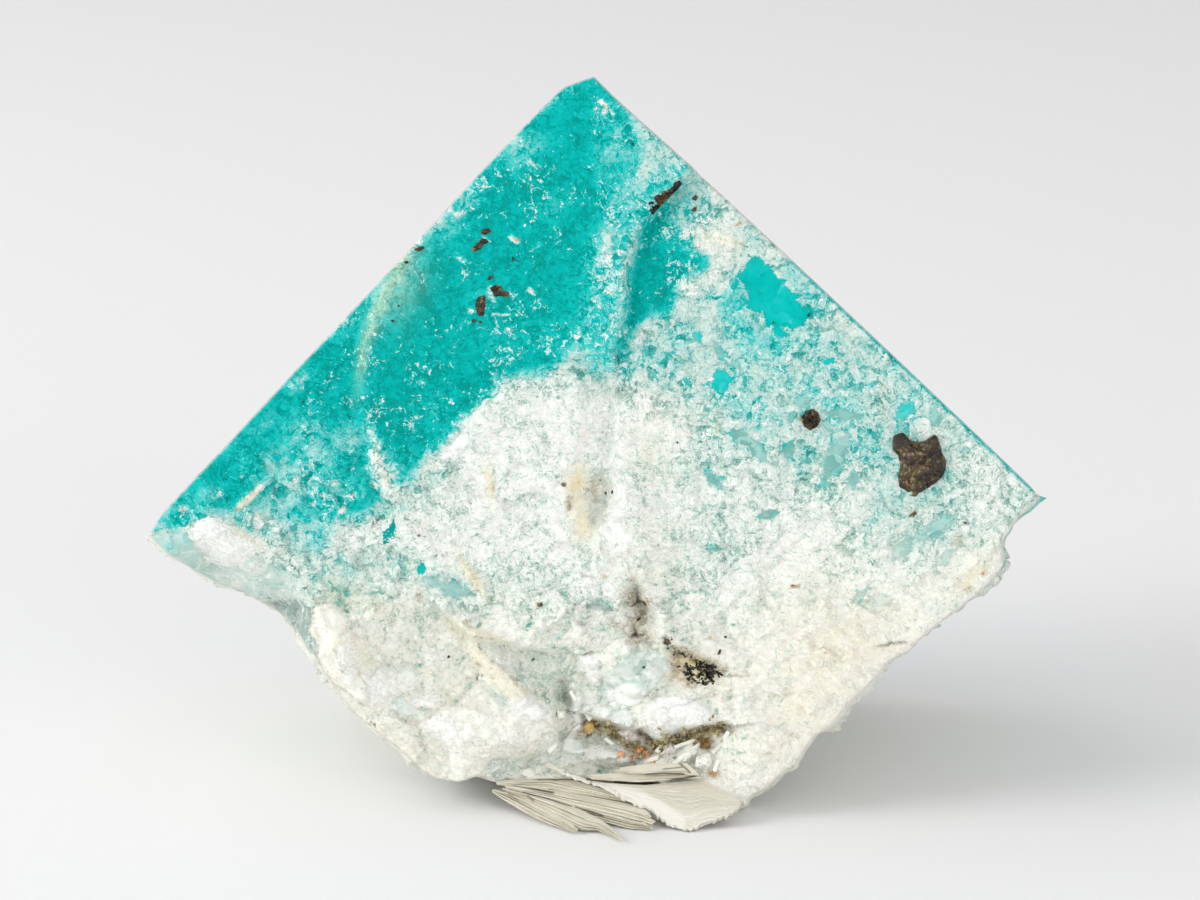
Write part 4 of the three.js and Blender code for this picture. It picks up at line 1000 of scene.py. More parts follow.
    def teal_ground(self, flat: Array) -> Array:
        """The teal level before windows and panels: aqua patches, each field over them, then pale ones."""
        across, up = flat[:, 0], flat[:, 1]
        teal = self.pale_level + softest_sum(self.aqua_patches, across, up)
        bent = across + 0.5 * fractal(flat, 2.2, 3, 181)
        bent_up = up + 0.5 * fractal(flat, 2.2, 3, 191)
        areas = ((self.right_field, 0.33, 3.0), (self.left_haze, 0.46, 0.7), (self.centre_field, 0.88, 0.8),
                 (self.left_field, 0.84, 0.6), (self.strip, 0.9, 0.6))
        for outline, level, edge in areas:
            teal = teal + (level - teal) * smooth(-edge, edge, inside_of(outline, bent, bent_up))
        teal = teal - self.pale_share * softest_sum(self.pale_patches, across, up)
        teal = np.maximum(teal, strongest(self.teal_lines, across, up))
        # the crease valleys low on the face are made more teal: grey-green stone there, and painted shade in
        # the creases
        return teal + 0.3 * smooth(0.76, 0.9, creases(flat)) * crumbly(across, up)

    def on_front(self, across: Array, up: Array) -> dict[str, Array]:
        """The colour fields of the front face.

        Args:
            across, up: places on the face.

        Returns:
            The fields by name. `clear` is the distance inside a window of clear stone and `pane` its level.
        """
        flat = on_face(across, up)
        wavy, wavy_up = ragged(flat)
        clear = inside_of(self.window, across, up)
        pane = np.full(across.shape, 0.82)
        stony = np.zeros_like(up)
        for patch in self.windows:
            depth = patch.sharp(wavy, wavy_up)
            pane = np.where(depth > clear, patch.amount, pane)
            clear = np.maximum(clear, depth)
            if self.stony[0] < patch.amount < self.stony[1]:
                stony = np.maximum(stony, smooth(-0.06, 0.06, depth) * smooth(0.1, 0.42, patch.amount))
        tints = {"teal": self.teal_ground(flat),
                 "cream": softest_sum(self.cream_patches, across, up) + 0.4 * smooth(-8.0, -16.0, up),
                 "grey": softest_sum(self.grey_and_shade_patches, across, up),
                 "straw": softest_sum(self.straw_patches, across, up) + 0.06 * smooth(-6.0, -14.0, up)}
        for panel in PANELS:
            depth = inside_of(panel.outline, wavy, wavy_up)
            share = smooth(-0.12, 0.12, depth)
            own = {"teal": panel.level, "cream": panel.cream, "grey": panel.grey, "straw": panel.straw}
            tints = {name: values + (own[name] - values) * share for name, values in tints.items()}
            pane = np.where(share > 0.0, panel.level, pane)
            clear = clear + (np.minimum(depth, panel.slick) - 0.2 * (panel.slick <= 0) - clear) * share
        teal = tints["teal"] * (1.0 - 0.95 * strongest(self.white_lines, wavy, wavy_up))
        rust = [spot.amount * np.clip(1.2 - spot.radius(across, up), 0.0, 1.0) for spot in self.rust_spots]
        return {**tints, "teal": np.clip(teal, 0.0, 1.0), "clear": np.clip(clear, -1.0, 1.0), "pane": pane,
                "stony": stony, "flecks": softest_sum(self.fleck_patches, across, up),
                "cream": np.maximum(tints["cream"], strongest(self.cream_lines, wavy, wavy_up)),
                "rust": np.max(rust, axis=0), "dark": strongest(self.dark_and_shade_lines, wavy, wavy_up),
                "brown": strongest(self.brown_lines, wavy, wavy_up)}

    def elsewhere(self, across: Array, up: Array, out: Array, zone: Array) -> dict[str, Array]:
        """The colour fields of the sides and the back: teal above, white and cream below, in uneven bands.

        Args:
            across, up, out: places from the middle of the front face.
            zone: which face each vertex lies on.

        Returns:
            The fields by name.
        """
        place = np.stack([across, up, out], axis=1)
        slow = fractal(place, 14.0, 3, 111)
        height = up + 0.25 * across + 6.0 * slow
        paler = smooth(3.0, 15.0, across) * smooth(-24.0, -3.0, out)
        vein = smooth(0.62, 0.86, fractal(place * [0.5, 1.0, 1.0], 10.0, 3, 127, True))
        teal = np.where(zone == Zone.UPPER.value, 0.78 + 0.35 * slow - 0.42 * paler,
                        0.1 + 0.75 * smooth(-6.0, 9.0, height))
        teal = teal + 0.25 * fractal(place, 5.0, 2, 121) - 0.45 * vein
        cream = 0.4 + 0.8 * fractal(place, 8.0, 2, 131)
        rust = fractal(place, 3.0, 3, 151) * 2.2 - 1.15
        return {"teal": np.clip(teal, 0.0, 1.0), "pane": np.clip(teal + 0.12, 0.0, 1.0),
                "flecks": np.clip(0.3 + 0.4 * fractal(place, 9.0, 2, 125), 0.0, 1.0),
                "clear": np.clip(fractal(place, 4.0, 2, 161) * 2.0 - 1.2, -1.0, 0.5),
                "cream": np.clip(cream + 0.3 * smooth(-4.0, -20.0, up), 0.0, 1.0),
                "grey": np.clip(0.3 + 0.5 * fractal(place, 6.0, 2, 141), 0.0, 1.0),
                "rust": np.clip(rust, 0.0, 0.6) * (zone != Zone.UPPER.value)}


# ---- shader helpers


class Value:
    """A value in a shader: +, - and * each add a Math node."""

    def __init__(self, tree: "Tree", socket: NodeSocket) -> None:
        """Keeps the socket that gives the value, and its tree."""
        self.tree = tree
        self.socket = socket

    def __add__(self, other: object) -> "Value":
        """The sum."""
        return self.tree.math("ADD", self, other)

    def __sub__(self, other: object) -> "Value":
        """The difference."""
        return self.tree.math("SUBTRACT", self, other)

    def __rsub__(self, other: float) -> "Value":
        """A number less this value."""
        return self.tree.math("SUBTRACT", other, self)

    def __mul__(self, other: object) -> "Value":
        """The product."""
        return self.tree.math("MULTIPLY", self, other)


class Tree:
    """A thin helper round a node tree that adds nodes and links them."""

    def __init__(self, tree: NodeTree) -> None:
        """Keeps the tree."""
        self.tree = tree

    def feed(self, socket: NodeSocket, value: object) -> None:
        """Links a socket to a value, or sets it to a constant."""
        if isinstance(value, Value):
            self.tree.links.new(value.socket, socket)
        else:
            socket.default_value = value

    def node(self, kind: str, inputs: dict | None = None, **settings: object) -> Node:
        """Adds a node.

        Args:
            kind: Blender's name for the node type.
            inputs: values for its inputs, by name or number.
            settings: properties to set on the node.

        Returns:
            The new node.
        """
        made = self.tree.nodes.new(kind)
        for key, value in settings.items():
            setattr(made, key, value)
        for key, value in (inputs or {}).items():
            self.feed(made.inputs[key], value)
        return made

    def outputs(self, kind: str, inputs: dict | None = None, **settings: object) -> dict[str, Value]:
        """Adds a node and gives its outputs by name."""
        return {socket.name: Value(self, socket) for socket in self.node(kind, inputs, **settings).outputs}

    def math(self, operation: str, a: object, b: object = 0.0, clamp: bool = False) -> Value:
        """A Math node's result."""
        return self.outputs("ShaderNodeMath", {0: a, 1: b}, operation=operation, use_clamp=clamp)["Value"]

    def vector(self, operation: str, inputs: dict) -> Value:
        """A Vector Math node's result."""
        made = self.outputs("ShaderNodeVectorMath", inputs, operation=operation)
        return made["Value" if operation == "DOT_PRODUCT" else "Vector"]

    def range(self, value: Value, low: object, high: object, to_low: float = 0.0,
              to_high: float = 1.0) -> Value:
        """A smooth Map Range node's result."""
        given = {"Value": value, "From Min": low, "From Max": high, "To Min": to_low, "To Max": to_high}
        return self.outputs("ShaderNodeMapRange", given, interpolation_type="SMOOTHSTEP")["Result"]

    def mix(self, factor: Value, a: object, b: object) -> Value:
        """The mix of two colours by a factor that is held between 0 and 1."""
        made = self.node("ShaderNodeMix", data_type="RGBA", clamp_factor=True)
        sockets = {socket.name: socket for socket in made.inputs if socket.enabled}
        for name, value in (("Factor", factor), ("A", a), ("B", b)):
            self.feed(sockets[name], value)
        return Value(self, [socket for socket in made.outputs if socket.enabled][0])

    def ramp(self, value: Value, through: tuple[tuple[float, Colour], ...]) -> Value:
        """A colour ramp through (position, colour) stops."""
        made = self.node("ShaderNodeValToRGB", {"Fac": value})
        elements = made.color_ramp.elements
        while len(elements) < len(through):
            elements.new(0.5)
        for element, (position, colour) in zip(elements, through):
            element.position = position
            element.color = colour
        return Value(self, made.outputs["Color"])

    def noise(self, vector: Value, scale: float, detail: float, rough: float, warp: float = 0.0) -> Value:
        """A Noise Texture's value. Scale is in waves per unit of the vector."""
        given = {"Vector": vector, "Scale": scale, "Detail": detail, "Roughness": rough, "Distortion": warp}
        return self.outputs("ShaderNodeTexNoise", given)["Fac"]

    def cells(self, vector: Value, scale: float, feature: str = "F1") -> dict[str, Value]:
        """A Voronoi Texture's outputs."""
        return self.outputs("ShaderNodeTexVoronoi", {"Vector": vector, "Scale": scale}, feature=feature)

    def group(self, group: NodeTree, vector: Value, scale: float, **more: float) -> dict[str, Value]:
        """Places a shader group and gives its outputs. The further inputs are named in lower case."""
        given = {"Vector": vector, "Scale": scale}
        given.update({name.capitalize(): value for name, value in more.items()})
        return self.outputs("ShaderNodeGroup", given, node_tree=group)

    def attribute(self, name: str) -> Value:
        """The value of a vertex attribute."""
        return self.outputs("ShaderNodeAttribute", attribute_name=name)["Fac"]

    def millimetres(self) -> Value:
        """Object coordinates in millimetres."""
        coordinates = self.outputs("ShaderNodeTexCoord")["Object"]
        return self.vector("SCALE", {0: coordinates, "Scale": 1.0 / MM})

    def bump(self, height: Value, strength: float, distance: float) -> Value:
        """The normals of a surface raised by a height."""
        given = {"Height": height, "Strength": strength, "Distance": distance}
        return self.outputs("ShaderNodeBump", given)["Normal"]


def new_material(name: str) -> tuple[Material, Tree]:
    """Makes an empty material and a helper for its tree."""
    material = bpy.data.materials.new(name)
    material.use_nodes = True
    material.node_tree.nodes.clear()
    return material, Tree(material.node_tree)


def shade(tree: Tree, inputs: dict) -> None:
    """Ends a material with a Principled shader that takes the inputs."""
    shader = tree.outputs("ShaderNodeBsdfPrincipled", inputs)["BSDF"]
    tree.node("ShaderNodeOutputMaterial", {"Surface": shader})


def rgb(red: float, green: float, blue: float) -> Colour:
    """A shader colour from screen values of 0 to 255."""
    linear = [part / 255 / 12.92 if part <= 10.3 else ((part / 255 + 0.055) / 1.055) ** 2.4
              for part in (red, green, blue)]
    return (*linear, 1.0)


def stops(*rows: tuple[float, float, float, float]) -> tuple[tuple[float, Colour], ...]:
    """The stops of a colour ramp, from rows of a position and a colour's screen values."""
    return tuple((row[0], rgb(*row[1:])) for row in rows)


def new_group(name: str, more: dict[str, float], outputs: list[str]) -> tuple[Tree, Value, dict[str, Value]]:
    """Makes a shader group that has a Vector and a Scale and gives numbers.

    Args:
        name: the group's name.
        more: its further inputs, by name, with their usual values.
        outputs: the names of its outputs.

    Returns:
        A helper for its tree, the vector times the scale, and the inputs by name.
    """
    group = bpy.data.node_groups.new(name, "ShaderNodeTree")
    group.interface.new_socket("Vector", in_out="INPUT", socket_type="NodeSocketVector")
    for label, usual in {"Scale": 1.0, **more}.items():
        group.interface.new_socket(label, in_out="INPUT", socket_type="NodeSocketFloat").default_value = usual
    for label in outputs:
        group.interface.new_socket(label, in_out="OUTPUT", socket_type="NodeSocketFloat")
    tree = Tree(group)
    given = tree.outputs("NodeGroupInput")
    return tree, tree.vector("SCALE", {0: given["Vector"], "Scale": given["Scale"]}), given


class Groups:
    """The shader groups that finishes share, each made once."""

    def __init__(self) -> None:
        """Builds every group."""
        self.strokes = self.make_strokes()
        self.grain = self.make_grain()
        self.flakes = self.make_flakes()

    def make_strokes(self) -> NodeTree:
        """Short curved strokes: thin contour lines of one noise, broken up by a second."""
        tree, at, given = new_group("short strokes", {"Width": 0.04, "Cover": 0.5}, ["Mask"])
        ridge = tree.math("ABSOLUTE", tree.noise(at, 1.0, 1.0, 0.5, 0.6) - 0.5)
        level = 1.0 - given["Cover"]
        broken = tree.range(tree.noise(at, 1.7, 1.0, 0.5, 0.3), level - 0.06, level + 0.06)
        tree.node("NodeGroupOutput", {"Mask": tree.range(ridge, 0.0, given["Width"], 1.0, 0.0) * broken})
        return tree.tree

    def make_grain(self) -> NodeTree:
        """Sugary grain for bump: fine cells and noise, about 0 to 1."""
        tree, at, _ = new_group("sugary grain", {}, ["Height"])
        height = tree.cells(at, 1.0)["Distance"] * 0.6 + tree.noise(at, 2.2, 3.0, 0.6, 0.4) * 0.7
        tree.node("NodeGroupOutput", {"Height": height})
        return tree.tree

    def make_flakes(self) -> NodeTree:
        """Tilted flakes: each random cell is a small plane that rises to one side, so its edges break off.

        The height is the dot product of the place in the cell with its random lean, plus a random level.
        """
        tree, at, _ = new_group("tilted flakes", {}, ["Height", "Pick"])
        cells = tree.cells(at, 1.0)
        offset = tree.vector("SUBTRACT", {0: at, 1: cells["Position"]})
        lean = tree.vector("SUBTRACT", {0: cells["Color"], 1: (0.5, 0.5, 0.5)})
        rise = tree.vector("DOT_PRODUCT", {0: offset, 1: lean})
        pick = tree.outputs("ShaderNodeSeparateColor", {0: cells["Color"]})["Blue"]
        tree.node("NodeGroupOutput", {"Height": rise * 1.5 + pick * 0.45 + 0.275, "Pick": pick})
        return tree.tree


@dataclass(frozen=True)
class FeldsparFinish:
    """Teal microcline under a crust of small pale flakes, which is thin on teal ground and thick on white.

    Attributes:
        tones: (wetness, colour). Wetness is how much of the teal ground shows through, 0 for white crust, and
            in the gaps between flakes it is raised to paint shade as well.
        stone: the same for the white part, where the gaps are grey-green, partly as stone and partly as
            painted shade.
        flake_scales: flakes per millimetre, from large to tiny.
        gap_shade_reach: how far a gap between flakes moves the tone towards teal.
        chip_share: how far a white chip moves the tone back, as a share of the teal level.
    """

    tones: tuple[tuple[float, Colour], ...] = stops(
        (0.0, 246, 250, 245), (0.1, 238, 246, 240), (0.2, 220, 238, 232), (0.3, 198, 231, 225),
        (0.4, 168, 223, 218), (0.5, 128, 214, 209), (0.6, 78, 204, 199), (0.7, 26, 196, 191),
        (0.8, 0, 189, 183), (0.9, 0, 180, 172), (1.0, 0, 158, 150))
    stone: tuple[tuple[float, Colour], ...] = stops(
        (0.0, 253, 253, 249), (0.1, 247, 251, 245), (0.2, 229, 240, 232), (0.3, 202, 223, 212),
        (0.45, 162, 195, 183), (0.7, 110, 148, 137), (1.0, 84, 112, 102))
    cream: Colour = rgb(252, 249, 234)
    straw: Colour = rgb(232, 219, 160)
    beige: Colour = rgb(238, 229, 214)
    # grey and slate: the stone's grey, and painted shade in hollows and on the underside
    grey: Colour = rgb(186, 196, 188)
    slate_and_shade: Colour = rgb(134, 158, 150)
    lake: Colour = rgb(118, 172, 163)
    shallow: Colour = rgb(158, 204, 196)
    rust: Colour = rgb(190, 132, 62)
    freckle: Colour = rgb(214, 190, 142)
    brown: Colour = rgb(178, 158, 122)
    umber: Colour = rgb(120, 100, 70)
    # dark: dark mineral, and painted shade in crevices and at the feet of steps
    dark: Colour = rgb(70, 56, 36)
    rim: Colour = rgb(226, 212, 204)
    flake_scales: tuple[float, ...] = (1.05, 2.1, 4.3, 8.7)
    gap_shade_reach: float = 0.1
    chip_share: float = 0.66

    def make(self, groups: Groups) -> Material:
        """Moves the stored teal level up in the low gaps between flakes and down on chips and high flakes,
        then reads the tones, so the gaps also carry painted shade and the high flakes painted light.

        Args:
            groups: the shared shader groups.

        Returns:
            The material.
        """
        material, tree = new_material("feldspar")
        at = tree.millimetres()
        # the patterns, of which those on bent places look broken rather than cellular
        given = {"Vector": at, "Scale": 0.9, "Detail": 3.0, "Roughness": 0.6}
        warp = tree.outputs("ShaderNodeTexNoise", given)
        bent = tree.vector("MULTIPLY_ADD", {0: warp["Color"], 1: (1.5, 1.5, 1.5), 2: at})
        slow = tree.noise(at, 0.42, 3.0, 0.6, 0.4)
        fine = tree.noise(bent, 1.7, 3.0, 0.65, 0.8)
        large, middle, small, tiny = (tree.group(groups.flakes, bent, scale) for scale in self.flake_scales)
        lines = tree.group(groups.strokes, bent, 1.2, width=0.05, cover=0.5)["Mask"]
        cracks = tree.group(groups.strokes, bent, 2.3, width=0.035, cover=0.52)["Mask"]
        coarse, close = (tree.cells(bent, scale, "DISTANCE_TO_EDGE")["Distance"]
                         for scale in self.flake_scales[:2])
        seams = tree.math("MAXIMUM", tree.range(coarse, 0.05, 0.008) * tree.range(fine, 0.4, 0.56),
                          tree.range(close, 0.055, 0.01) * tree.range(fine, 0.6, 0.46, 0.0, 0.7))
        relief = (large["Height"] * 0.27 + middle["Height"] * 0.32 + small["Height"] * 0.28
                  + tiny["Height"] * 0.2 + (fine - 0.57) * 0.5 - cracks * 0.12 - seams * 0.07)
        off = relief - 0.46

        # the teal level, then how wet each place is: gaps between flakes get wetter and high flakes drier,
        # partly the ground showing and partly painted shade and light
        edge = tree.attribute("clear") + off * -0.5
        glass = tree.range(edge, -0.05, 0.08)
        dull = 1.0 - glass * 0.8
        teal = tree.attribute("teal")
        base = teal + (tree.attribute("pane") - teal) * tree.range(edge, -0.05, 0.03)
        open_part = base * (1.0 - base)
        level = tree.math("ADD", base, (slow - 0.5) * (open_part * 1.5 + 0.18), clamp=True)
        swing = open_part * 0.75 + 0.14
        wet = tree.range(relief, 0.44, 0.14) * (open_part * 0.8 + self.gap_shade_reach) - off * swing
        wet = (wet + (tiny["Pick"] - 0.5) * swing * 0.6) * tree.range(slow, 0.35, 0.62, 0.65, 1.3)
        half_teal = tree.range(level, 0.16, 0.36) * tree.range(level, 0.7, 0.5)
        bare = tree.range(middle["Pick"], 0.14, 0.1) * half_teal
        wet = (wet + bare * 0.16 + cracks * tree.range(level, 0.35, 0.12, 0.07, 0.2)
               + seams * tree.range(level, 0.4, 0.15, 0.0, 0.04))
        sharp = lines * 0.32 + off * 1.1 + tree.attribute("flecks") * 0.44 + (slow - 0.5) * 1.3
        chip = tree.range(sharp, 0.36, 0.62) * (level * self.chip_share)
        inside = (large["Height"] - 0.5) * glass * -0.13
        wet = tree.math("ADD", level + (wet - chip) * dull, inside, clamp=True)

        # the two ramps, then each tint over them
        stone, tones = (tree.ramp(wet, ramp) for ramp in (self.stone, self.tones))
        colour = tree.mix(tree.range(level, 0.12, 0.48), stone, tones)
        lake = tree.mix(tree.range(large["Pick"], 0.2, 0.8), self.lake, self.shallow)
        colour = tree.mix(tree.attribute("stony") * tree.range(relief, 0.85, 0.6, 0.45, 0.9), colour, lake)
        creamy = (tree.attribute("cream") * tree.range(slow, 0.3, 0.65, 0.5, 1.0) * tree.range(wet, 0.95, 0.2)
                  * tree.range(fine, 0.3, 0.6, 0.55, 1.15))
        colour = tree.mix(creamy, colour, self.cream)
        straw = tree.attribute("straw")
        colour = tree.mix(straw * tree.range(fine, 0.3, 0.62, 0.35, 1.1), colour, self.straw)
        blush = tree.range(warp["Fac"], 0.58, 0.7, 0.0, 0.35) * tree.range(wet, 0.5, 0.12)
        colour = tree.mix(blush, colour, self.beige)
        # grey and slate, stronger in low places: the stone's grey, and painted shade in hollows and on the
        # underside
        grey_and_shade = tree.attribute("grey") * tree.range(relief, 0.75, 0.2, 0.2, 1.0) * tree.range(wet, 0.6, 0.35)
        colour = tree.mix(grey_and_shade, colour, self.grey)
        colour = tree.mix(tree.range(grey_and_shade, 0.55, 1.5, 0.0, 0.8), colour, self.slate_and_shade)
        freckle = (tree.range(tree.noise(at, 2.9, 2.0, 0.6, 0.5), 0.66, 0.7) * tree.range(straw, 0.05, 0.16)
                   * tree.range(level, 0.34, 0.16, 0.0, 0.8))
        colour = tree.mix(freckle, colour, self.freckle)
        low = tree.range(relief, 0.62, 0.3, 0.35, 1.3)
        rust = tree.math("MULTIPLY", tree.attribute("rust"), low, clamp=True)
        colour = tree.mix(rust * 0.85, colour, self.rust)
        brown = tree.attribute("brown") * tree.range(fine, 0.68, 0.36, 0.3, 1.1)
        colour = tree.mix(brown, colour, tree.mix(tree.range(relief, 0.5, 0.25), self.brown, self.umber))
        # dark mineral and painted shade in crevices and at steps, stronger in low places
        dark = tree.math("MULTIPLY", tree.attribute("dark"), low, clamp=True)
        colour = tree.mix(dark * 0.85, colour, self.dark)
        colour = tree.mix(tree.range(tree.attribute("rim"), 0.9, 0.2) * 0.6, colour, self.rim)
        gloss = tree.range(tree.math("MAXIMUM", glass, level * 0.5), 0.0, 1.0, 0.6, 0.3)
        shade(tree, {"Base Color": colour, "Roughness": gloss, "Specular IOR Level": 0.04,
                     "Normal": tree.bump(relief * dull, 0.62, 0.0003)})
        return material


@dataclass(frozen=True)
class BiotiteFinish:
    """Dark brown mica grains with scaly golden glints."""

    dark: Colour = rgb(34, 25, 16)
    brown: Colour = rgb(76, 61, 38)
    gold: Colour = rgb(158, 140, 92)

    def make(self, groups: Groups) -> Material:
        """Mixes dark, brown and gold by small random scales, which also tilt the surface."""
        material, tree = new_material("biotite")
        at = tree.millimetres()
        pick = tree.outputs("ShaderNodeSeparateColor", {0: tree.cells(at, 5.2)["Color"]})
        worn = tree.noise(at, 1.1, 4.0, 0.65, 0.5) * 0.6 + tree.noise(at, 0.5, 2.0, 0.5, 0.3) * 0.4
        colour = tree.mix(tree.range(worn, 0.42, 0.58), self.dark, self.brown)
        glint = tree.range(pick["Red"], 0.55, 0.9) * tree.range(worn, 0.46, 0.58, 0.02, 0.75)
        shade(tree, {"Base Color": tree.mix(glint, colour, self.gold),
                     "Roughness": tree.range(pick["Green"], 0.0, 1.0, 0.25, 0.6),
                     "Normal": tree.bump(tree.group(groups.grain, at, 5.0)["Height"], 0.8, 0.0001)})
        return material


@dataclass(frozen=True)
class BlackFinish:
    """Black prisms with olive dust on some faces."""

    black: Colour = rgb(16, 15, 12)
    olive: Colour = rgb(112, 102, 62)

    def make(self, groups: Groups) -> Material:
        """Dusts part of the prisms by noise and leaves them glossy."""
        material, tree = new_material("black crystals")
        at = tree.millimetres()
        dust = tree.range(tree.noise(at, 2.2, 3.0, 0.6, 0.2), 0.52, 0.7)
        shade(tree, {"Base Color": tree.mix(dust, self.black, self.olive),
                     "Roughness": tree.range(dust, 0.0, 1.0, 0.18, 0.6),
                     "Normal": tree.bump(tree.group(groups.grain, at, 8.0)["Height"], 0.3, 0.00005)})
        return material


@dataclass(frozen=True)
class MicaFinish:
    """Silky mica: fine straight fibres along grey-beige leaves, a smooth white plate with painted shade, and
    dark brown painted shadows in the gaps.
    """

    pearl: Colour = rgb(238, 234, 218)
    grey: Colour = rgb(196, 190, 166)
    white: Colour = rgb(250, 248, 238)
    paper: Colour = rgb(240, 238, 228)
    shade: Colour = rgb(206, 202, 184)
    # brown: the painted shadow in the gaps between leaves
    brown: Colour = rgb(66, 52, 34)

    def make(self) -> Material:
        """Fibres are noise squeezed across the band and stretched along the run of each leaf.

        Returns:
            The material, which reads the attributes plain, run and band, and those of the painted shading of
            the plate and of the painted shadows in the gaps.
        """
        material, tree = new_material("mica")
        plain = tree.attribute("plain")
        along = {0: tree.attribute("run") * 1.6, 1: tree.attribute("band") * 17.0, 2: 0.0}
        fibre_at = tree.outputs("ShaderNodeCombineXYZ", along)["Vector"]
        fine = tree.noise(fibre_at, 4.0, 3.0, 0.6)
        silk = tree.noise(fibre_at, 1.0, 3.0, 0.65) * 0.6 + fine * 0.4
        leaf = tree.mix(tree.range(silk, 0.32, 0.62), self.grey, self.pearl)
        leaf = tree.mix(tree.range(fine, 0.56, 0.72), leaf, self.white)
        # the plate is painted in shade, lighter along its lit ridge and towards its low tip
        worn = tree.attribute("worn") + (silk - 0.5) * 3.0
        paper = tree.mix(tree.range(worn, 0.2, 0.9), self.paper, self.shade)
        paper = tree.mix(tree.range(fine, 0.52, 0.66), paper, self.white)
        paper = tree.mix(tree.range(fine, 0.44, 0.3, 0.0, 0.6), paper, self.grey)
        # painted shadows darken the gaps between leaves
        colour = tree.mix(tree.attribute("gap_shadow") * 0.92, tree.mix(plain, leaf, paper), self.brown)
        shade(tree, {"Base Color": colour, "Roughness": tree.range(fine, 0.3, 0.7, 0.3, 0.5),
                     "Normal": tree.bump(silk * (1.0 - plain * 0.25), 0.35, 0.0001)})
        return material


@dataclass(frozen=True)
class CrystalFinish:
    """Clouded small crystals: quartz, albite or amber-stained.

    Attributes:
        name: the finish's name.
        clear, cloudy: its two colours.
        transmission: how much light passes through.
        roughness: of its faces.
    """

    name: str
    clear: Colour
    cloudy: Colour
    transmission: float = 0.0
    roughness: float = 0.3

    def make(self, groups: Groups) -> Material:
        """Mixes the two colours by slow noise and dulls the cloudy part."""
        material, tree = new_material(self.name)
        at = tree.millimetres()
        cloud = tree.range(tree.noise(at, 1.8, 3.0, 0.6, 0.4), 0.4, 0.62)
        shade(tree, {"Base Color": tree.mix(cloud, self.clear, self.cloudy),
                     "Roughness": tree.range(cloud, 0.0, 1.0, self.roughness, self.roughness + 0.25),
                     "Normal": tree.bump(tree.group(groups.grain, at, 4.0)["Height"], 0.35, 0.00006),
                     "Transmission Weight": self.transmission, "IOR": 1.54})
        return material


# ---- small pieces


def finish_piece(piece: Object, material: Material, slot: str, node: str | None = None) -> None:
    """Gives a piece its finish and its body, and hides the frame node that it stands for.

    Args:
        piece: the piece.
        material: its finish.
        slot: a name for the finish, which is only logged.
        node: the frame node that it stands in for and that is hidden, if any.
    """
    piece.data.materials.append(material)
    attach(piece, "root")
    if node:
        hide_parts(node)
    LOG.info("%s: %d faces, %s", piece.name, len(piece.data.polygons), slot)


def closed_rings(rings: Array, first: Array, last: Array) -> tuple[Array, list]:
    """A closed skin through rings of points, with a pole at each end.

    Args:
        rings: (r, n, 3) places. Seen from the first pole the points run anticlockwise.
        first: the pole before the first ring.
        last: the pole after the last ring.

    Returns:
        The vertices and the faces.
    """
    count, columns = rings.shape[:2]
    verts = np.concatenate([first[None], rings.reshape(-1, 3), last[None]])
    near = 1 + np.arange(columns)
    faces = np.stack([np.zeros(columns, int), near, np.roll(near, -1)], axis=1).tolist()
    for _ in range(count - 1):
        far = near + columns
        faces += np.stack([near, far, np.roll(far, -1), np.roll(near, -1)], axis=1).tolist()
        near = far
    faces += np.stack([np.full(columns, len(verts) - 1), np.roll(near, -1), near], axis=1).tolist()
    return verts, faces


def radii_of(outline: Points2, middle: tuple[float, float], count: int) -> Array:
    """Distance from a middle to an outline in count even directions: where each ray crosses an edge.

    Args:
        outline: corners of an outline that every ray from the middle leaves once.
        middle: where the rays start.
        count: how many rays.

    Returns:
        (count,) distances.
    """
    ray = np.stack(circle_of(count), axis=1)[:, None, :]
    start = (np.array(outline) - middle)[None]
    run = np.roll(np.array(outline), -1, axis=0)[None] - np.array(outline)[None]
    cross = ray[..., 0] * run[..., 1] - ray[..., 1] * run[..., 0]
    cross = np.where(np.abs(cross) < 1e-12, 1e-12, cross)
    reach = (start[..., 0] * run[..., 1] - start[..., 1] * run[..., 0]) / cross
    share = (start[..., 0] * ray[..., 1] - start[..., 1] * ray[..., 0]) / cross
    hit = (share >= -1e-9) & (share <= 1 + 1e-9) & (reach > 0)
    return np.max(np.where(hit, reach, 0.0), axis=1)

def face_point(across: float, up: float, out: float) -> Array:
    """One place in the row frame, as (3,)."""
    return FACE.place(np.array([across]), np.array([up]), np.array([out]))[0]


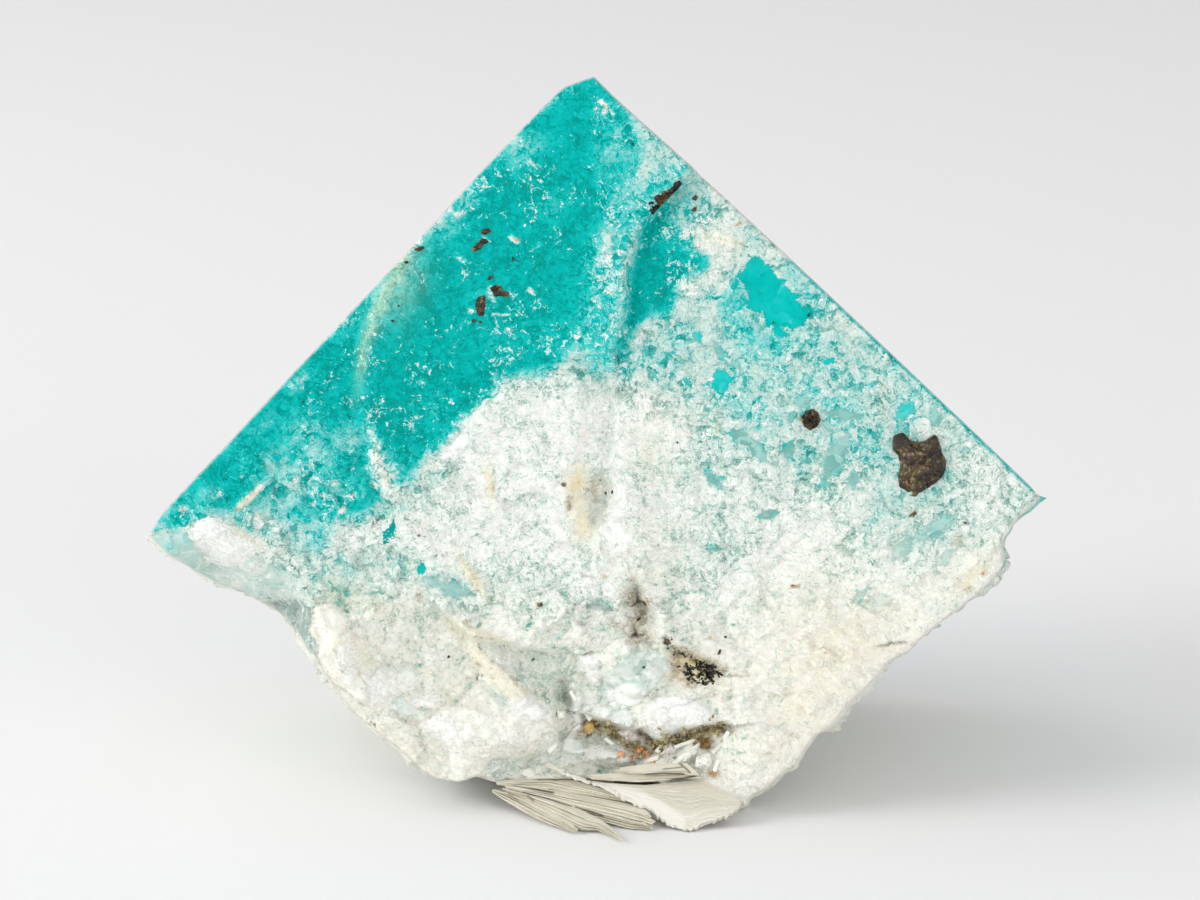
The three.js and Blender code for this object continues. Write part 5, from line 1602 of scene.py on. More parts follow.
@dataclass(frozen=True)
class Nugget:
    """A crystal or grain set into the front face.

    Attributes:
        node: the piece's name in the frame.
        outline: its outline on the face, in millimetres.
        proud: how far its top stands out.
        deep: how far it goes in.
        seed: chooses its relief.
        droop: how much lower its rim lies than its top, as a share of proud.
        facet: width of the small faces on it.
        rough: height of the small faces.
        ragged: unevenness of the rim, as a share of its width.
        tilt: rise of the top per millimetre across and up.
    """

    node: str
    outline: Points2
    proud: float
    deep: float
    seed: int
    droop: float = 0.7
    facet: float = 0.5
    rough: float = 0.12
    ragged: float = 0.05
    tilt: tuple[float, float] = (0.0, 0.0)

    def build(self, shape: FaceShape) -> Object:
        """Rings from the middle to the rim over a faceted top, then down a wall to a point below.

        Args:
            shape: the face it stands in.

        Returns:
            The piece.
        """
        columns, rows = 88, 18
        corners = np.array(self.outline)
        middle = tuple((corners.max(axis=0) + corners.min(axis=0)) / 2)
        cos, sin = circle_of(columns)
        circle = np.stack([cos, sin, np.zeros(columns)], axis=1)
        uneven = fractal(circle * 2.0 + self.seed * 3.7, 1.0, 3, self.seed)
        radius = radii_of(self.outline, middle, columns) * (1.0 + self.ragged * 2.0 * uneven)
        base = float(shape.heights(np.array([middle[0]]), np.array([middle[1]]))[0])
        share = (np.arange(1, rows + 1) / rows)[:, None]
        off_x, off_y = share * radius * cos, share * radius * sin
        across, up = middle[0] + off_x, middle[1] + off_y
        flat = np.stack([across.ravel(), up.ravel(), np.full(across.size, self.seed * 5.0)], axis=1)
        small = facets(flat, self.facet, self.seed, 1.2)
        small = small + 0.5 * facets(flat, self.facet * 0.4, self.seed + 1, 1.2)
        small = self.rough * small.reshape(across.shape)
        out = base + self.proud * (1.0 - self.droop * share**3) + small
        out = out + (across - middle[0]) * self.tilt[0] + (up - middle[1]) * self.tilt[1]
        rings = [FACE.place(across[row], up[row], out[row]) for row in range(rows)]
        for spread, sink in ((1.04, 0.12), (1.0, 0.5), (0.85, 1.0)):
            rings.append(FACE.place(middle[0] + spread * radius * cos, middle[1] + spread * radius * sin,
                                    out[-1] - (out[-1] - base + self.deep) * sink))
        top = face_point(*middle, base + self.proud + small[0].mean())
        verts, faces = closed_rings(np.array(rings), top, face_point(*middle, base - self.deep))
        return build_mesh(self.node + "_grown", verts, faces, 30.0)


def turned_axes(directions: Array, spin: Array) -> Array:
    """Right-handed frames whose third axis is each direction, spun about it.

    Args:
        directions: (n, 3) unit vectors.
        spin: (n,) angles.

    Returns:
        (n, 3, 3), one axis per row.
    """
    helper = np.where(np.abs(directions[:, 2:3]) < 0.9, [[0.0, 0.0, 1.0]], [[1.0, 0.0, 0.0]])
    first = np.cross(helper, directions)
    first /= np.linalg.norm(first, axis=1, keepdims=True)
    second = np.cross(directions, first)
    a = first * np.cos(spin)[:, None] + second * np.sin(spin)[:, None]
    return np.stack([a, np.cross(directions, a), directions], axis=1)


@dataclass(frozen=True)
class PrismForm:
    """One small pointed prism: its sides and where its shoulders lie along its length."""

    sides: int = 5
    shoulder: float = 0.7
    flat: float = 1.0

    def swarm(self, places: Array, directions: Array, lengths: Array, widths: Array,
              seed: int) -> tuple[Array, list]:
        """Many prisms at once: the unit prism times each one's frame and size.

        Args:
            places: (n, 3) middles of their feet, in millimetres.
            directions: (n, 3) unit vectors along them.
            lengths: (n,) in millimetres.
            widths: (n,) in millimetres.
            seed: chooses their spins.

        Returns:
            Vertices in metres and faces.
        """
        generator = np.random.default_rng(seed)
        cos, sin = circle_of(self.sides)
        ring = np.stack([cos, self.flat * sin], axis=1)
        unit = np.concatenate([
            np.column_stack([ring, np.zeros(self.sides)]),
            np.column_stack([ring * 0.95, np.full(self.sides, self.shoulder)]),
            [[0.25, 0.1, 1.0], [0.0, 0.0, 0.0]]])
        count = len(places)
        size = np.ones((count, len(unit), 3)) * unit
        size[:, :, :2] *= widths[:, None, None] / 2
        size[:, :, 2] *= lengths[:, None]
        frames = turned_axes(directions, generator.random(count) * TURN)
        verts = np.einsum("npk,nkj->npj", size, frames) + places[:, None]
        j = np.arange(self.sides)
        k = np.roll(j, -1)
        top, foot = 2 * self.sides, 2 * self.sides + 1
        quads = np.stack([j, k, k + self.sides, j + self.sides], axis=1)
        caps = np.concatenate([np.stack([j + self.sides, k + self.sides, np.full(self.sides, top)], axis=1),
                               np.stack([k, j, np.full(self.sides, foot)], axis=1)])
        first = (np.arange(count) * len(unit))[:, None, None]
        faces = (quads + first).reshape(-1, 4).tolist() + (caps + first).reshape(-1, 3).tolist()
        return verts.reshape(-1, 3) * MM, faces


def face_vectors(across: Array, up: Array, out: Array) -> Array:
    """Unit vectors in the row frame from parts across the face, up it and out of it."""
    axes = FACE.axes()
    spread = across[:, None] * axes[0] + up[:, None] * axes[1] + out[:, None] * axes[2]
    return spread / np.linalg.norm(spread, axis=1, keepdims=True)


@dataclass(frozen=True)
class Leaf:
    """One mica leaf of the book: split sheets between an upper and a lower edge, drawn from its root.

    The edges are given as they lie when carried onto the face from the point `VIEW_REACH` out of its middle.

    Attributes:
        node: its name in the frame.
        upper, lower: its two edges from the root to the tips.
        level: the leaf's plane, as out = level + slopes[0] * across + slopes[1] * up.
        slopes: the plane's slopes.
        sheets: how many split sheets.
        thick: thickness of a sheet.
        split: how far the sheets stand apart.
        torn: how ragged the tips are, as a share of the length.
        seed: chooses the tears.
        plain: how smooth and white it is, 1 for the plate.
    """

    node: str
    upper: Points2
    lower: Points2
    level: float
    slopes: tuple[float, float]
    sheets: int
    thick: float
    split: float
    torn: float
    seed: int
    plain: float = 0.0

    def plane_point(self, across: Array, up: Array, drop: Array) -> Array:
        """Carries points onto the leaf's plane: both are scaled by k = (reach - level) / (reach + slope)."""
        slope = self.slopes[0] * across + self.slopes[1] * up
        level = self.level - drop
        scale = (VIEW_REACH - level) / (VIEW_REACH + slope)
        return FACE.place(across * scale, up * scale, level + scale * slope)

    def build(self) -> Object:
        """Each sheet is a grid from root to tips and from edge to edge, made a closed thin body.

        Returns:
            The leaf, with its striations stored as run and band.
        """
        rows, columns = 70, 26
        generator = np.random.default_rng(self.seed)
        upper, lower = resample(self.upper, rows), resample(self.lower, rows)
        index = np.arange(rows)
        sheet_quads = self.sheet_faces(rows, columns)
        upright = math.sqrt(1.0 + self.slopes[0] ** 2 + self.slopes[1] ** 2)
        bodies, faces = [], []
        marks = {"run": [], "band": [], "gap_shadow": [], "worn": []}
        for sheet in range(self.sheets):
            share = sheet / max(self.sheets - 1, 1)
            low = max(0.0, share * (1 - 1.5 / self.sheets) - 0.06 * generator.random())
            high = min(1.0, low + 1.9 / self.sheets + 0.1 * generator.random()) if self.sheets > 1 else 1.0
            t = np.tile(np.linspace(low, high, columns), rows)
            s = np.repeat(np.linspace(0.0, 1.0, rows), columns)
            flat = np.stack([t * 14 + sheet * 9.1, np.full(t.size, 0.5), np.full(t.size, self.seed)], axis=1)
            tear = fractal(flat, 1.0, 3, self.seed + sheet)
            reach = 1.0 - self.torn * (0.5 + 0.9 * tear) * (0.4 + generator.random())
            at = np.clip(s * np.minimum(reach, 1.0), 0.0, 1.0) * (rows - 1)
            edge_a, edge_b = (np.stack([np.interp(at, index, edge[:, k]) for k in (0, 1)], axis=1)
                              for edge in (upper, lower))
            jagged = fractal(np.stack([at * 0.5, at * 0, at * 0 + sheet], axis=1), 1.0, 3, 77, True)
            edge_b[:, 1] += (0.05 + 0.28 * self.plain) * jagged
            across, up = (edge_a + (edge_b - edge_a) * t[:, None]).T
            wave = np.stack([at * 0.03, t * 9, np.full(at.shape, sheet * 3.3)], axis=1)
            ribs = 0.05 * fractal(wave, 1.0, 3, self.seed + 50) + 0.03 * np.sin(at * 0.12 + sheet)
            drop = self.split * (sheet + 0.35 * np.sin(3 * s + sheet)) * upright
            body = self.close_sheet(self.plane_point(across, up, drop - ribs))
            floor = 0.00004 + 0.00003 * (self.sheets - sheet)
            body[:, 2] = 0.5 * (body[:, 2] + np.sqrt(body[:, 2] ** 2 + (4 * floor) ** 2))
            faces.append(sheet_quads + sum(len(other) for other in bodies))
            bodies.append(body)
            # painted shading of the plate: shade everywhere but along the lit ridge, lighter towards the low
            # tip
            bare = 1.0 - MICA_LIT_RIDGE.mask(across, up)
            marks["run"].append(np.tile(at / rows, 2))
            marks["band"].append(np.tile(t + sheet * 1.7, 2))
            # painted shadows in the gaps between leaves
            marks["gap_shadow"].append(np.tile(np.minimum(strongest(MICA_GAP_SHADOWS, across, up), 1.0), 2))
            marks["worn"].append(np.tile(0.85 * bare - 0.35 * smooth(-23.4, -24.8, up), 2))
        leaf = build_mesh(self.node + "_sheets", np.concatenate(bodies), np.concatenate(faces).tolist(), 40.0)
        for name, parts in marks.items():
            set_attribute(leaf, name, np.concatenate(parts))
        set_attribute(leaf, "plain", np.full(len(leaf.data.vertices), self.plain))
        return leaf

    def close_sheet(self, top: Array) -> Array:
        """The sheet's upper and lower skins, as (2 n, 3), `thick` apart along the plane's normal."""
        normal = face_vectors(*(np.array([v]) for v in (-self.slopes[0], -self.slopes[1], 1.0)))
        return np.concatenate([top, top - normal * self.thick * MM])

    def sheet_faces(self, rows: int, columns: int) -> Array:
        """Quads of both skins and of the band round the rim."""
        rim = edge_loop(np.arange(rows * columns).reshape(rows, columns))
        lower = rim + rows * columns
        skin = grid_faces(rows, columns)
        band = np.stack([rim, lower, np.roll(lower, -1), np.roll(rim, -1)], axis=1)
        return np.concatenate([skin[:, ::-1], skin + rows * columns, band[:, ::-1]])


VIEW_REACH = 320.0
# thin painted shadows in the gaps between the leaves
MICA_GAP_SHADOWS = strokes(
    (0.07, 1, -5.8, -22.45, -3.9, -22.85, -3.1, -23),
    (0.05, 0.9, -3.4, -22.65, -2, -22.95, 0.4, -23.35, 1.8, -23.55),
    (0.06, 0.9, -5.1, -22.9, -3.6, -23.3, -1.9, -23.85), (0.05, 0.8, -1.7, -23.85, 0.2, -24.45),
    (0.05, 0.6, -4.8, -23.1, -4.4, -23.5), (0.05, 0.6, 2.4, -23.8, 3.4, -24.2, 4.1, -25),
    (0.04, 0.4, -6.4, -22.7, -5.2, -23.7, -3.8, -24.5), (0.04, 0.3, -2.6, -24.1, -1, -24.8),
    (0.06, 1, -0.9, -21.95, 0.4, -22.15, 1.7, -22.2), (0.06, 1, 2.1, -22.25, 4.4, -22.05, 6.4, -21.75),
    (0.06, 0.9, 3, -21.62, 4.2, -21.55, 5.6, -21.6), (0.05, 0.7, 4.2, -21.3, 5.6, -21.15),
    (0.07, 0.8, 5.3, -20.9, 6, -21.5))
# the plate's lit ridge, which is left free of its painted shade
MICA_LIT_RIDGE = Stroke(path(-3.6, -21.1, -1.5, -21.9, 1, -22.75, 2.6, -23.3, 4, -24.1, 5.2, -25), 0.5, 0.9)
PLATE_SLOPES = (-0.013, -1.061)
FAN_SLOPES = (-0.2075, -3.024)


@dataclass(frozen=True)
class MicaBook:
    """The split mica book under the lowest corner: a wide plate, two leaves above it and a fan of four."""

    leaves: tuple[Leaf, ...] = (
        Leaf("mica_leaf_2", path(6.6, -21.6, 5.8, -20.9, 3.4, -20.9, 1.2, -21.2), path(6.6, -21.7,
            5.6, -21.65, 3.4, -21.65, 0.9, -21.45), -22.5, PLATE_SLOPES, 3, 0.07, 0.1, 0.12, 401),
        Leaf("mica_leaf_1", path(6.8, -21.8, 5.3, -21.5, 2, -21.5, -0.9, -21.7), path(6.8, -21.9,
            5.4, -21.95, 2.6, -22.15, -0.7, -21.95), -23.1, PLATE_SLOPES, 3, 0.07, 0.1, 0.1, 402),
        Leaf("mica_plate", path(9.6, -23.6, 8.6, -22.9, 6.8, -22, 5, -22.15, 3, -22.35, 1, -22.25,
            -0.9, -21.95, -3.6, -20.9), path(9.6, -23.7, 9.2, -24.2, 8.3, -24.7, 6.8, -25.25, 5.9, -25.75,
            4.6, -25.2, 3.5, -24.2, 1.7, -23.4, 0.2, -22.6, -2, -21.8, -3.7, -20.95), -23.78,
            PLATE_SLOPES, 2, 0.3, 0.12, 0.02, 403, 1),
        Leaf("mica_leaf_3", path(-6.9, -22.15, -5, -21.9, -3.3, -21.6, -1, -22.3, 1.2, -23, 1.8, -23.45),
            path(-6.9, -22.3, -3.4, -22.85, 0.3, -23.35, 1.8, -23.55), -70.2, FAN_SLOPES, 5, 0.07, 0.1,
            0.06, 404),
        Leaf("mica_leaf_4", path(-6.3, -22.5, -3.2, -22.8, -0.5, -23.3, 1.8, -23.75, 3, -24.2,
            3.9, -24.9), path(-6.3, -22.6, -4.9, -23.1, -3, -23.8, -1.2, -24.4, 0.2, -24.8, 2, -25.35,
            3.6, -25.5), -71.3, FAN_SLOPES, 7, 0.07, 0.1, 0.12, 405),
        Leaf("mica_leaf_5", path(-6.5, -22.6, -5, -22.85, -1.8, -23.85, 0, -24.8, 0.7, -25.35,
            1.6, -26.4), path(-6.5, -22.7, -5.1, -23.35, -3.5, -24.15, -2.2, -25, -1.2, -25.45,
            -0.2, -25.5, 0.6, -25.9, 1.6, -26.5), -72.4, FAN_SLOPES, 5, 0.07, 0.1, 0.03, 406),
        Leaf("mica_leaf_6", path(-7.1, -22.7, -6, -22.75, -4.8, -23.3, -3.4, -24.1, -2.1, -25,
            -1.3, -25.7), path(-7.2, -22.8, -6, -23.6, -4.9, -24.25, -3.9, -24.8, -2.9, -25.3,
            -1.6, -25.95), -73.5, FAN_SLOPES, 5, 0.07, 0.1, 0.12, 407),
    )

    def build(self, material: Material) -> None:
        """Builds every leaf and gives it the mica finish."""
        for leaf in self.leaves:
            finish_piece(leaf.build(), material, "mica", leaf.node)


@dataclass(frozen=True)
class GrainFinishes:
    """The materials of the grains and crystals."""

    biotite: Material
    black: Material
    amber: Material
    rust: Material
    quartz: Material
    albite: Material
    olive: Material
    umber: Material


@dataclass(frozen=True)
class Grains:
    """The grains and crystals that have a socket of their own, plus swarms of smaller ones round them."""

    biotite: tuple[Nugget, ...] = (
        Nugget("biotite_grain_right", path(19.55, 0.3, 19.7, 0.9, 20.15, 1.1, 20.45, 0.95, 20.6, 0.6,
            21.1, 0.45, 21.7, 0.55, 22, 0.8, 22.4, 0.95, 22.6, 0.3, 22.75, -0.3, 23, -0.7, 23, -1.3,
            22.8, -1.8, 22.3, -2.2, 21.5, -2.8, 21, -3.1, 20.5, -2.95, 20.2, -2.6, 19.95, -2.5,
            19.85, -1.8, 20, -1.1, 19.9, -0.4, 19.6, -0.1), 0.5, 1.6, 501, 0.75, 0.9, 0.1, 0.03),
        Nugget("biotite_grain_mid", path(13.4, 2.15, 13.7, 2.6, 14.2, 2.75, 14.55, 2.5, 14.7, 2,
            14.45, 1.5, 14, 1.35, 13.6, 1.6), 0.35, 0.9, 502, 0.8, 0.35, 0.1),
        Nugget("biotite_blade_top", path(3.1, 16.35, 3.3, 15.95, 3.55, 15.7, 4.3, 16.5, 5.1, 17.25,
            5.45, 17.7, 5.2, 17.95, 4.85, 17.9, 4.2, 17.4, 3.6, 16.8), 0.35, 1.1, 503, 0.6, 0.35, 0.14),
        Nugget("biotite_flake_1", path(-8.65, 13.3, -8.3, 13.2, -7.9, 13.45, -7.75, 13.75, -7.35, 13.8,
            -7.5, 14.1, -7.95, 14.05, -8.2, 13.75), 0.16, 0.6, 504, 0.5, 0.3, 0.05, 0.12),
        Nugget("biotite_flake_2", path(-7.3, 10.75, -7, 10.2, -6.5, 10.25, -6.1, 10.15, -6.1, 10.5,
            -6.5, 10.6, -6.6, 10.95, -7, 11.05), 0.16, 0.6, 505, 0.5, 0.3, 0.05, 0.12),
        Nugget("biotite_flake_3", path(-8.25, 9.9, -8.3, 9.5, -8.1, 8.95, -7.75, 8.9, -7.65, 9.5,
            -7.6, 10.2, -8, 10.25), 0.16, 0.6, 506, 0.5, 0.3, 0.05, 0.12),
        Nugget("biotite_flake_4", path(-8, 14.4, -7.6, 14.35, -7.25, 14.55, -7.4, 14.8, -7.8, 14.7), 0.14,
            0.5, 507, 0.5, 0.3, 0.04, 0.1),
    )
    amber: tuple[Nugget, ...] = (
        Nugget("amber_grain", path(-1.1, -18.5, -0.85, -18.15, -0.45, -18.35, -0.38, -18.85, -0.7, -19.15,
            -1.1, -18.95), 0.7, 0.9, 511, 0.8, 0.3, 0.05),
    )
    rust: tuple[Nugget, ...] = (
        Nugget("rust_grain", path(6.65, -19.3, 7.3, -19.25, 7.35, -19.9, 6.7, -19.95), 0.5, 0.8, 512, 0.7,
            0.3, 0.06),
    )
    quartz: tuple[Nugget, ...] = (
        Nugget("crevice_crystal_1", path(1.15, -18.95, 1.9, -18.7, 2.85, -19.2, 2.6, -19.7, 1.7, -19.65),
            0.7, 1, 521, 0.8, 0.5, 0.1, 0.03, (0.1, 0.3)),
        Nugget("crevice_crystal_2", path(4.2, -19.9, 4.7, -19.55, 5.3, -19.9, 5.05, -20.5, 4.4, -20.45),
            0.7, 0.9, 522, 0.8, 0.4, 0.1, 0.03, (0.2, 0.2)),
    )
    albite: tuple[Nugget, ...] = (
        Nugget("crevice_crystal_3", path(5.2, -20.95, 5.5, -21.15, 6.5, -20.2, 6.3, -19.95, 5.8, -20.2),
            0.7, 0.8, 531, 0.6, 0.3, 0.08, 0.04, (0.2, 0.4)),
        Nugget("crevice_crystal_4", path(6.45, -20.5, 7.3, -20.2, 7.5, -21, 7, -21.5, 6.35, -21.2), 0.7,
            0.9, 532, 0.7, 0.35, 0.1, 0.03, (0.1, 0.2)),
        Nugget("crevice_crystal_5", path(-2.9, -17.45, -2.35, -17.5, -2.3, -18, -2.85, -18.05), 0.7, 0.8,
            533, 0.5, 0.4, 0.06, 0.02, (0.1, 0.3)),
    )
    black_outline: Points2 = path(
        5.4, -14.3, 5.7, -14.05, 6.2, -14, 7.3, -14.3, 8.3, -14.9, 8, -15.3, 7, -15.7, 5.9, -15.3)
    black_trail: Points2 = path(4.3, -12.5, 4.6, -13, 5.1, -13.4, 5.7, -13.7, 6.3, -14, 6.9, -14.3)
    left_crumbs: Points2 = path(
        -0.4, -18.5, 0.6, -18.8, 1.4, -19.3, 2.2, -19.9, 2.9, -20.2, 3.5, -20.3, 4, -20.3)
    right_crumbs: Points2 = path(
        3.6, -19.7, 4.6, -19.5, 5.2, -19.5, 5.8, -19.2, 6.6, -19, 7.4, -18.8, 8.4, -18.6)
    rust_crumbs: Points2 = path(1.3, -20.4, 2.1, -20.6, 2.85, -20.35, 3.5, -20.7)
    shards: tuple[tuple[float, ...], ...] = (
        (4.9, -21, 6.1, -20.1, 0.42), (5.3, -20.7, 7.3, -19.3, 0.4), (5, -19.9, 6.5, -19.35, 0.5),
        (4.1, -20.45, 5, -19.8, 0.5), (3.8, -20.3, 4.5, -19.5, 0.4), (7.85, -20.7, 7.6, -21.5, 0.3),
        (3, -20.9, 4.1, -20.5, 0.5), (-1.9, -18.9, -1.3, -18.4, 0.5), (-3.5, -20.2, -2.9, -19.6, 0.5),
        (-2, -16.2, -1.6, -16.9, 0.4), (-0.9, -17.6, -0.6, -18.2, 0.4), (7.5, -20.2, 8.3, -19.5, 0.5),
        (8.3, -19.3, 8.6, -18.7, 0.3), (0.3, -19.4, 1, -19.9, 0.4), (-7.4, -21.6, -6.7, -21.2, 0.5),
        (-5.2, -21.8, -4, -21.4, 0.6))
    specks: tuple[tuple[float, ...], ...] = (
        (6.35, 16.8, 0.2, 0.14, 20), (6.3, 16.05, 0.16, 0.16, 0), (-12, 13.4, 0.3, 0.12, 10),
        (-12.9, 12.5, 0.16, 0.1, 0), (-13.8, 8.6, 0.12, 0.08, 0), (-5.8, 12.7, 0.08, 0.16, 0),
        (2.2, 20.4, 0.08, 0.08, 0), (11.55, 8.5, 0.07, 0.07, 0), (13.9, 9, 0.12, 0.06, 50),
        (20.85, -4.3, 0.3, 0.16, 40), (24.3, -4.85, 0.14, 0.08, -30), (-2.4, -2.3, 0.16, 0.14, 0),
        (0.4, -2.85, 0.08, 0.1, 0), (0.8, -2.8, 0.07, 0.14, 0), (-4, -10.3, 0.2, 0.16, 30),
        (-10.1, -13.8, 0.1, 0.12, 0), (-4.5, -14.05, 0.14, 0.05, 40), (2.9, -14.45, 0.07, 0.07, 0),
        (8.35, -12.45, 0.1, 0.1, 0), (7.95, -13.45, 0.12, 0.2, -20), (5.15, 0.5, 0.08, 0.08, 0),
        (-8.4, 8.6, 0.14, 0.12, 0), (-7.95, 8.5, 0.1, 0.1, 0), (-7.35, 11.45, 0.2, 0.12, 30),
        (4.45, -12.75, 0.2, 0.24, -45), (-13.4, 9.6, 0.08, 0.08, 0), (-19.8, 3.2, 0.07, 0.1, 0),
        (-24.9, -2, 0.07, 0.1, 20), (12.8, -9, 0.1, 0.06, 0), (-12.05, -5.7, 0.08, 0.08, 0),
        (0, -2, 0.07, 0.07, 0), (3, -10.2, 0.16, 0.22, 20), (2.6, -11.4, 0.12, 0.2, 0))

    def build(self, shape: FaceShape, finishes: GrainFinishes) -> None:
        """Builds every grain and gives it its finish.

        Args:
            shape: the face that they stand in.
            finishes: their materials.
        """
        sets = ((self.biotite, finishes.biotite, "biotite"), (self.amber, finishes.amber, "amber"),
                (self.rust, finishes.umber, "amber"), (self.quartz, finishes.quartz, "quartz"),
                (self.albite, finishes.albite, "albite"))
        for nuggets, material, slot in sets:
            for nugget in nuggets:
                finish_piece(nugget.build(shape), material, slot, nugget.node)
        finish_piece(self.black_cluster(shape), finishes.black, "tourmaline", "black_cluster")
        finish_piece(self.dark_specks(shape), finishes.biotite, "biotite")
        finish_piece(self.crevice_druse(shape), finishes.albite, "albite")
        left = Crumbs("crumbs_left", self.left_crumbs, 60, 0.3, 581)
        right = Crumbs("crumbs_right", self.right_crumbs, 140, 0.3, 583)
        rusty = Crumbs("crumbs_rust", self.rust_crumbs, 12, 0.16, 587, 1.25)
        finish_piece(left.build(shape), finishes.olive, "biotite")
        finish_piece(right.build(shape), finishes.olive, "biotite")
        finish_piece(rusty.build(shape), finishes.rust, "amber")

    def black_cluster(self, shape: FaceShape) -> Object:
        """Short black prisms standing at all angles inside the outline, with a trail of smaller ones.

        Args:
            shape: the face they stand on.

        Returns:
            The cluster, one mesh.
        """
        generator = np.random.default_rng(551)
        tries, most, trailing = 900, 190, 70
        x = generator.uniform(5.3, 8.4, tries)
        y = generator.uniform(-15.8, -13.9, tries)
        keep = inside_of(self.black_outline, x, y) > -0.02
        middle = np.exp(-(((x - 6.9) / 0.9) ** 2 + ((y + 14.8) / 0.5) ** 2))
        keep &= generator.random(tries) < 0.25 + 0.75 * middle
        x, y = x[keep][:most], y[keep][:most]
        trail = resample(self.black_trail, trailing) + generator.normal(size=(trailing, 2)) * 0.13
        across, up = np.concatenate([x, trail[:, 0]]), np.concatenate([y, trail[:, 1]])
        size = np.concatenate([np.full(len(x), 1.0), np.full(trailing, 0.6)])
        count = len(across)
        places = FACE.place(across, up, shape.heights(across, up) - 0.15) / MM
        lean = generator.normal(size=(count, 2)) * 0.9
        directions = face_vectors(lean[:, 0], lean[:, 1], np.ones(count))
        lengths = generator.uniform(0.22, 0.45, count) * size
        widths = generator.uniform(0.12, 0.24, count) * size
        verts, faces = PrismForm(5, 0.8).swarm(places, directions, lengths, widths, 552)
        return build_mesh("black_cluster_druse", verts, faces, 20.0)

    def dark_specks(self, shape: FaceShape) -> Object:
        """Tiny flattened grains at their places, each a low dome of rings closed below.

        Args:
            shape: the face they lie on.

        Returns:
            The grains, one mesh.
        """
        generator = np.random.default_rng(561)
        columns = 10
        cos, sin = circle_of(columns)
        all_verts, all_faces, count = [], [], 0
        for across, up, wide, high, angle in self.specks:
            uneven = 1.0 + 0.22 * generator.normal(size=columns)
            turn = math.radians(angle)
            base = float(shape.heights(np.array([across]), np.array([up]))[0])
            rings = []
            for share, level in ((0.45, 0.1), (0.85, 0.06), (1.0, 0.0), (0.9, -0.15)):
                x, y = share * uneven * cos * wide, share * uneven * sin * high
                rings.append(FACE.place(across + x * math.cos(turn) - y * math.sin(turn),
                                        up + x * math.sin(turn) + y * math.cos(turn),
                                        base + 0.02 + level + 0.02 * generator.normal(size=columns)))
            verts, faces = closed_rings(np.array(rings), face_point(across, up, base + 0.13),
                                        face_point(across, up, base - 0.25))
            all_verts.append(verts)
            all_faces += [[corner + count for corner in face] for face in faces]
            count += len(verts)
        return build_mesh("dark_specks", np.concatenate(all_verts), all_faces, 35.0)

    def crevice_druse(self, shape: FaceShape) -> Object:
        """White blades and shards that lie in the crevice over the mica and in the hollow beside it."""
        data = np.array(self.shards)
        start, end = data[:, 0:2], data[:, 2:4]
        run = end - start
        length = np.hypot(run[:, 0], run[:, 1])
        lift = np.array([0.35, -0.2, 0.1])[np.arange(len(data)) % 3]
        middle = (start + end) / 2
        level = shape.heights(middle[:, 0], middle[:, 1]) + 0.12
        places = FACE.place(start[:, 0], start[:, 1], level - lift * length / 2) / MM
        directions = face_vectors(run[:, 0], run[:, 1], lift * length)
        verts, faces = PrismForm(4, 0.85, 0.55).swarm(places, directions, length, data[:, 4], 572)
        return build_mesh("crevice_druse", verts, faces, 20.0)


@dataclass(frozen=True)
class Crumbs:
    """Angular crumbs scattered along a line: its name, line, count, spread, seed and size."""

    name: str
    line: Points2
    count: int
    spread: float
    seed: int
    size: float = 1.0

    def build(self, shape: FaceShape) -> Object:
        """Prisms at random leans, half sunk in the stone."""
        generator = np.random.default_rng(self.seed)
        at = resample(self.line, self.count) + generator.normal(size=(self.count, 2)) * self.spread
        lean = generator.normal(size=(self.count, 2)) * 0.8
        places = FACE.place(at[:, 0], at[:, 1], shape.heights(at[:, 0], at[:, 1]) - 0.08) / MM
        directions = face_vectors(lean[:, 0], lean[:, 1], np.ones(self.count))
        lengths = generator.uniform(0.15, 0.42, self.count) * self.size
        widths = generator.uniform(0.15, 0.4, self.count) * self.size
        verts, faces = PrismForm(4, 0.7, 0.8).swarm(places, directions, lengths, widths, self.seed + 1)
        return build_mesh(self.name, verts, faces, 20.0)


# ---- studio


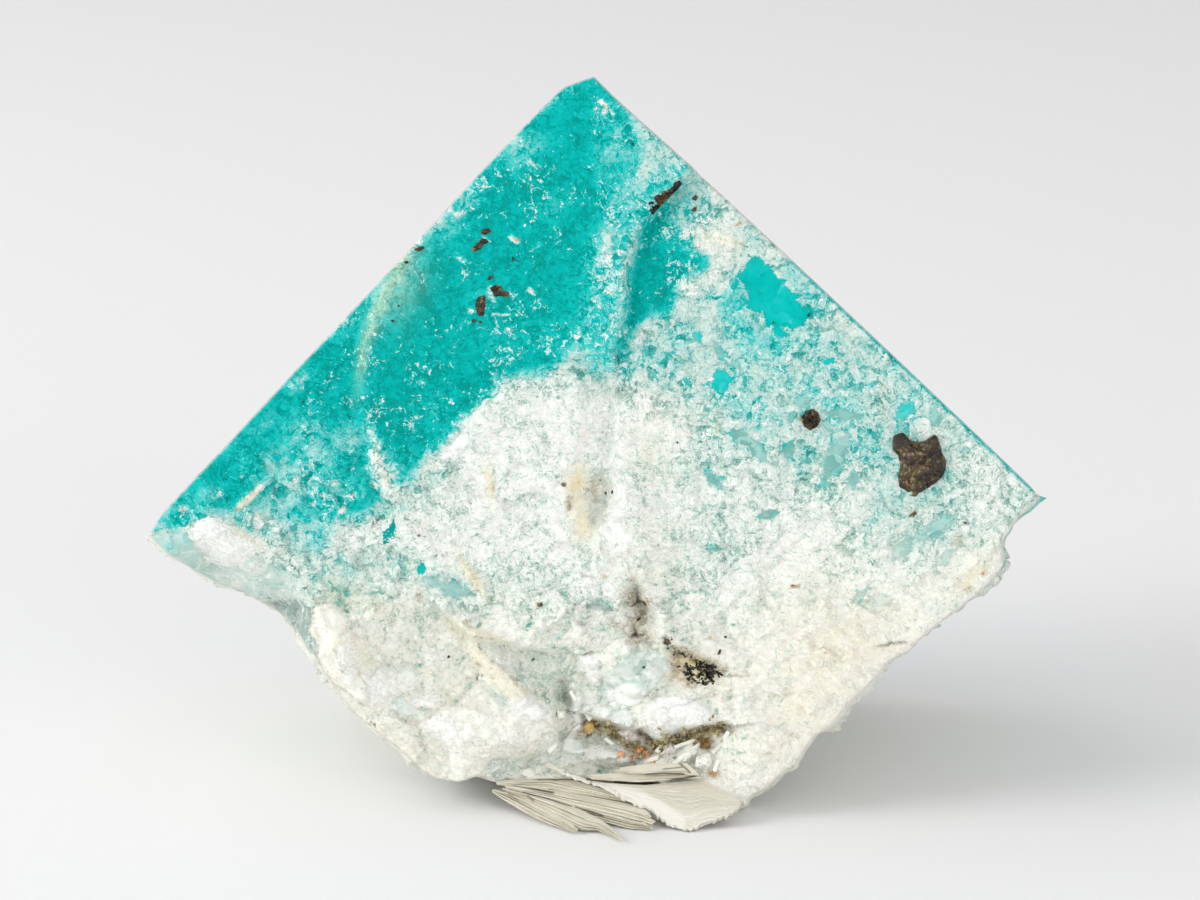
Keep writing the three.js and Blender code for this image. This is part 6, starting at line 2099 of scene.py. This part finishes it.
@dataclass(frozen=True)
class Studio:
    """A plain pale floor with a soft curve behind, soft lights and the camera."""

    distance: float = 0.320
    lens: float = 144.0
    floor_colour: Colour = rgb(243, 243, 243)

    def build(self) -> None:
        """Makes the floor, the lights and the camera."""
        self.make_floor()
        self.make_lights()
        self.make_camera()

    def make_floor(self) -> None:
        """One sheet that runs level, then curves up behind: a profile of a quarter circle carried across."""
        reach, radius, top = 0.9, 0.5, 2.2
        turn = np.linspace(0.0, math.pi / 2, 24)
        profile = np.concatenate([
            np.stack([np.linspace(-1.5, reach, 12), np.zeros(12)], axis=1),
            np.stack([reach + radius * np.sin(turn[1:]), radius * (1 - np.cos(turn[1:]))], axis=1),
            np.array([[reach + radius, top]])])
        x = np.linspace(-2.5, 2.5, 2)
        verts = np.array([[side, y, z] for y, z in profile for side in x])
        floor = build_mesh("studio_floor", verts, grid_faces(len(profile), 2).tolist())
        material, tree = new_material("studio paper")
        shade(tree, {"Base Color": self.floor_colour, "Roughness": 0.85, "Specular IOR Level": 0.1})
        floor.data.materials.append(material)

    def add_light(self, name: str, place: Vector, size: float, power: float, colour: tuple) -> None:
        """An area light that faces the specimen."""
        data = bpy.data.lights.new(name, "AREA")
        data.shape = "DISK"
        data.size = size
        data.energy = power
        data.color = colour
        light = bpy.data.objects.new(name, data)
        light.location = place
        light.rotation_mode = "QUATERNION"
        light.rotation_quaternion = (place - Vector((0.0, 0.0, 0.02))).to_track_quat("Z", "Y")
        bpy.context.scene.collection.objects.link(light)

    def make_lights(self) -> None:
        """A large key from the upper left, a weak fill from the right and a bright even surround."""
        self.add_light("key", Vector((-0.60, -0.18, 0.27)), 0.50, 2.75, (1.0, 1.0, 0.985))
        self.add_light("fill", Vector((0.34, -0.60, 0.08)), 0.5, 1.9, (1.0, 0.99, 0.975))
        self.add_light("top", Vector((-0.44, 0.36, 0.55)), 0.7, 0.9, (1.0, 0.99, 1.0))
        world = bpy.data.worlds.new("surround")
        world.use_nodes = True
        background = world.node_tree.nodes["Background"]
        background.inputs["Color"].default_value = rgb(252, 251, 253)
        background.inputs["Strength"].default_value = 0.68
        bpy.context.scene.world = world
        bpy.context.scene.view_settings.view_transform = "Standard"

    def make_camera(self) -> None:
        """The camera looks square onto the front face's middle."""
        data = bpy.data.cameras.new("camera")
        data.lens = self.lens
        data.sensor_width = 36.0
        camera = bpy.data.objects.new("camera", data)
        _, _, out = FACE.axes()
        target = Vector(np.array(FACE.centre) * MM)
        back = Vector(out)
        camera.location = target + back * self.distance
        camera.rotation_mode = "QUATERNION"
        camera.rotation_quaternion = back.to_track_quat("Z", "Y")
        bpy.context.scene.collection.objects.link(camera)
        bpy.context.scene.camera = camera


def main() -> None:
    """Builds the studio and every piece of the specimen, in order."""
    logging.basicConfig(level=logging.INFO, format="%(message)s")
    Studio().build()
    groups = Groups()
    shape = FaceShape()
    block = Block(shape).build(Colouring())
    finish_piece(block, FeldsparFinish().make(groups), "feldspar", "amazonite_block")
    MicaBook().build(MicaFinish().make())
    Grains().build(shape, GrainFinishes(
        biotite=BiotiteFinish().make(groups),
        black=BlackFinish().make(groups),
        amber=CrystalFinish("amber crystal", rgb(255, 236, 170), rgb(248, 196, 108), 0.2, 0.15).make(groups),
        rust=CrystalFinish("rust crust", rgb(222, 122, 66), rgb(242, 184, 124)).make(groups),
        quartz=CrystalFinish("quartz crystal", rgb(226, 216, 210), rgb(240, 236, 230)).make(groups),
        albite=CrystalFinish("albite", rgb(236, 240, 234), rgb(252, 250, 240)).make(groups),
        olive=CrystalFinish("olive crumbs", rgb(192, 178, 130), rgb(118, 108, 68)).make(groups),
        umber=CrystalFinish("brown crystal", rgb(150, 118, 66), rgb(96, 74, 44)).make(groups)))


if __name__ == "__main__":
    main()
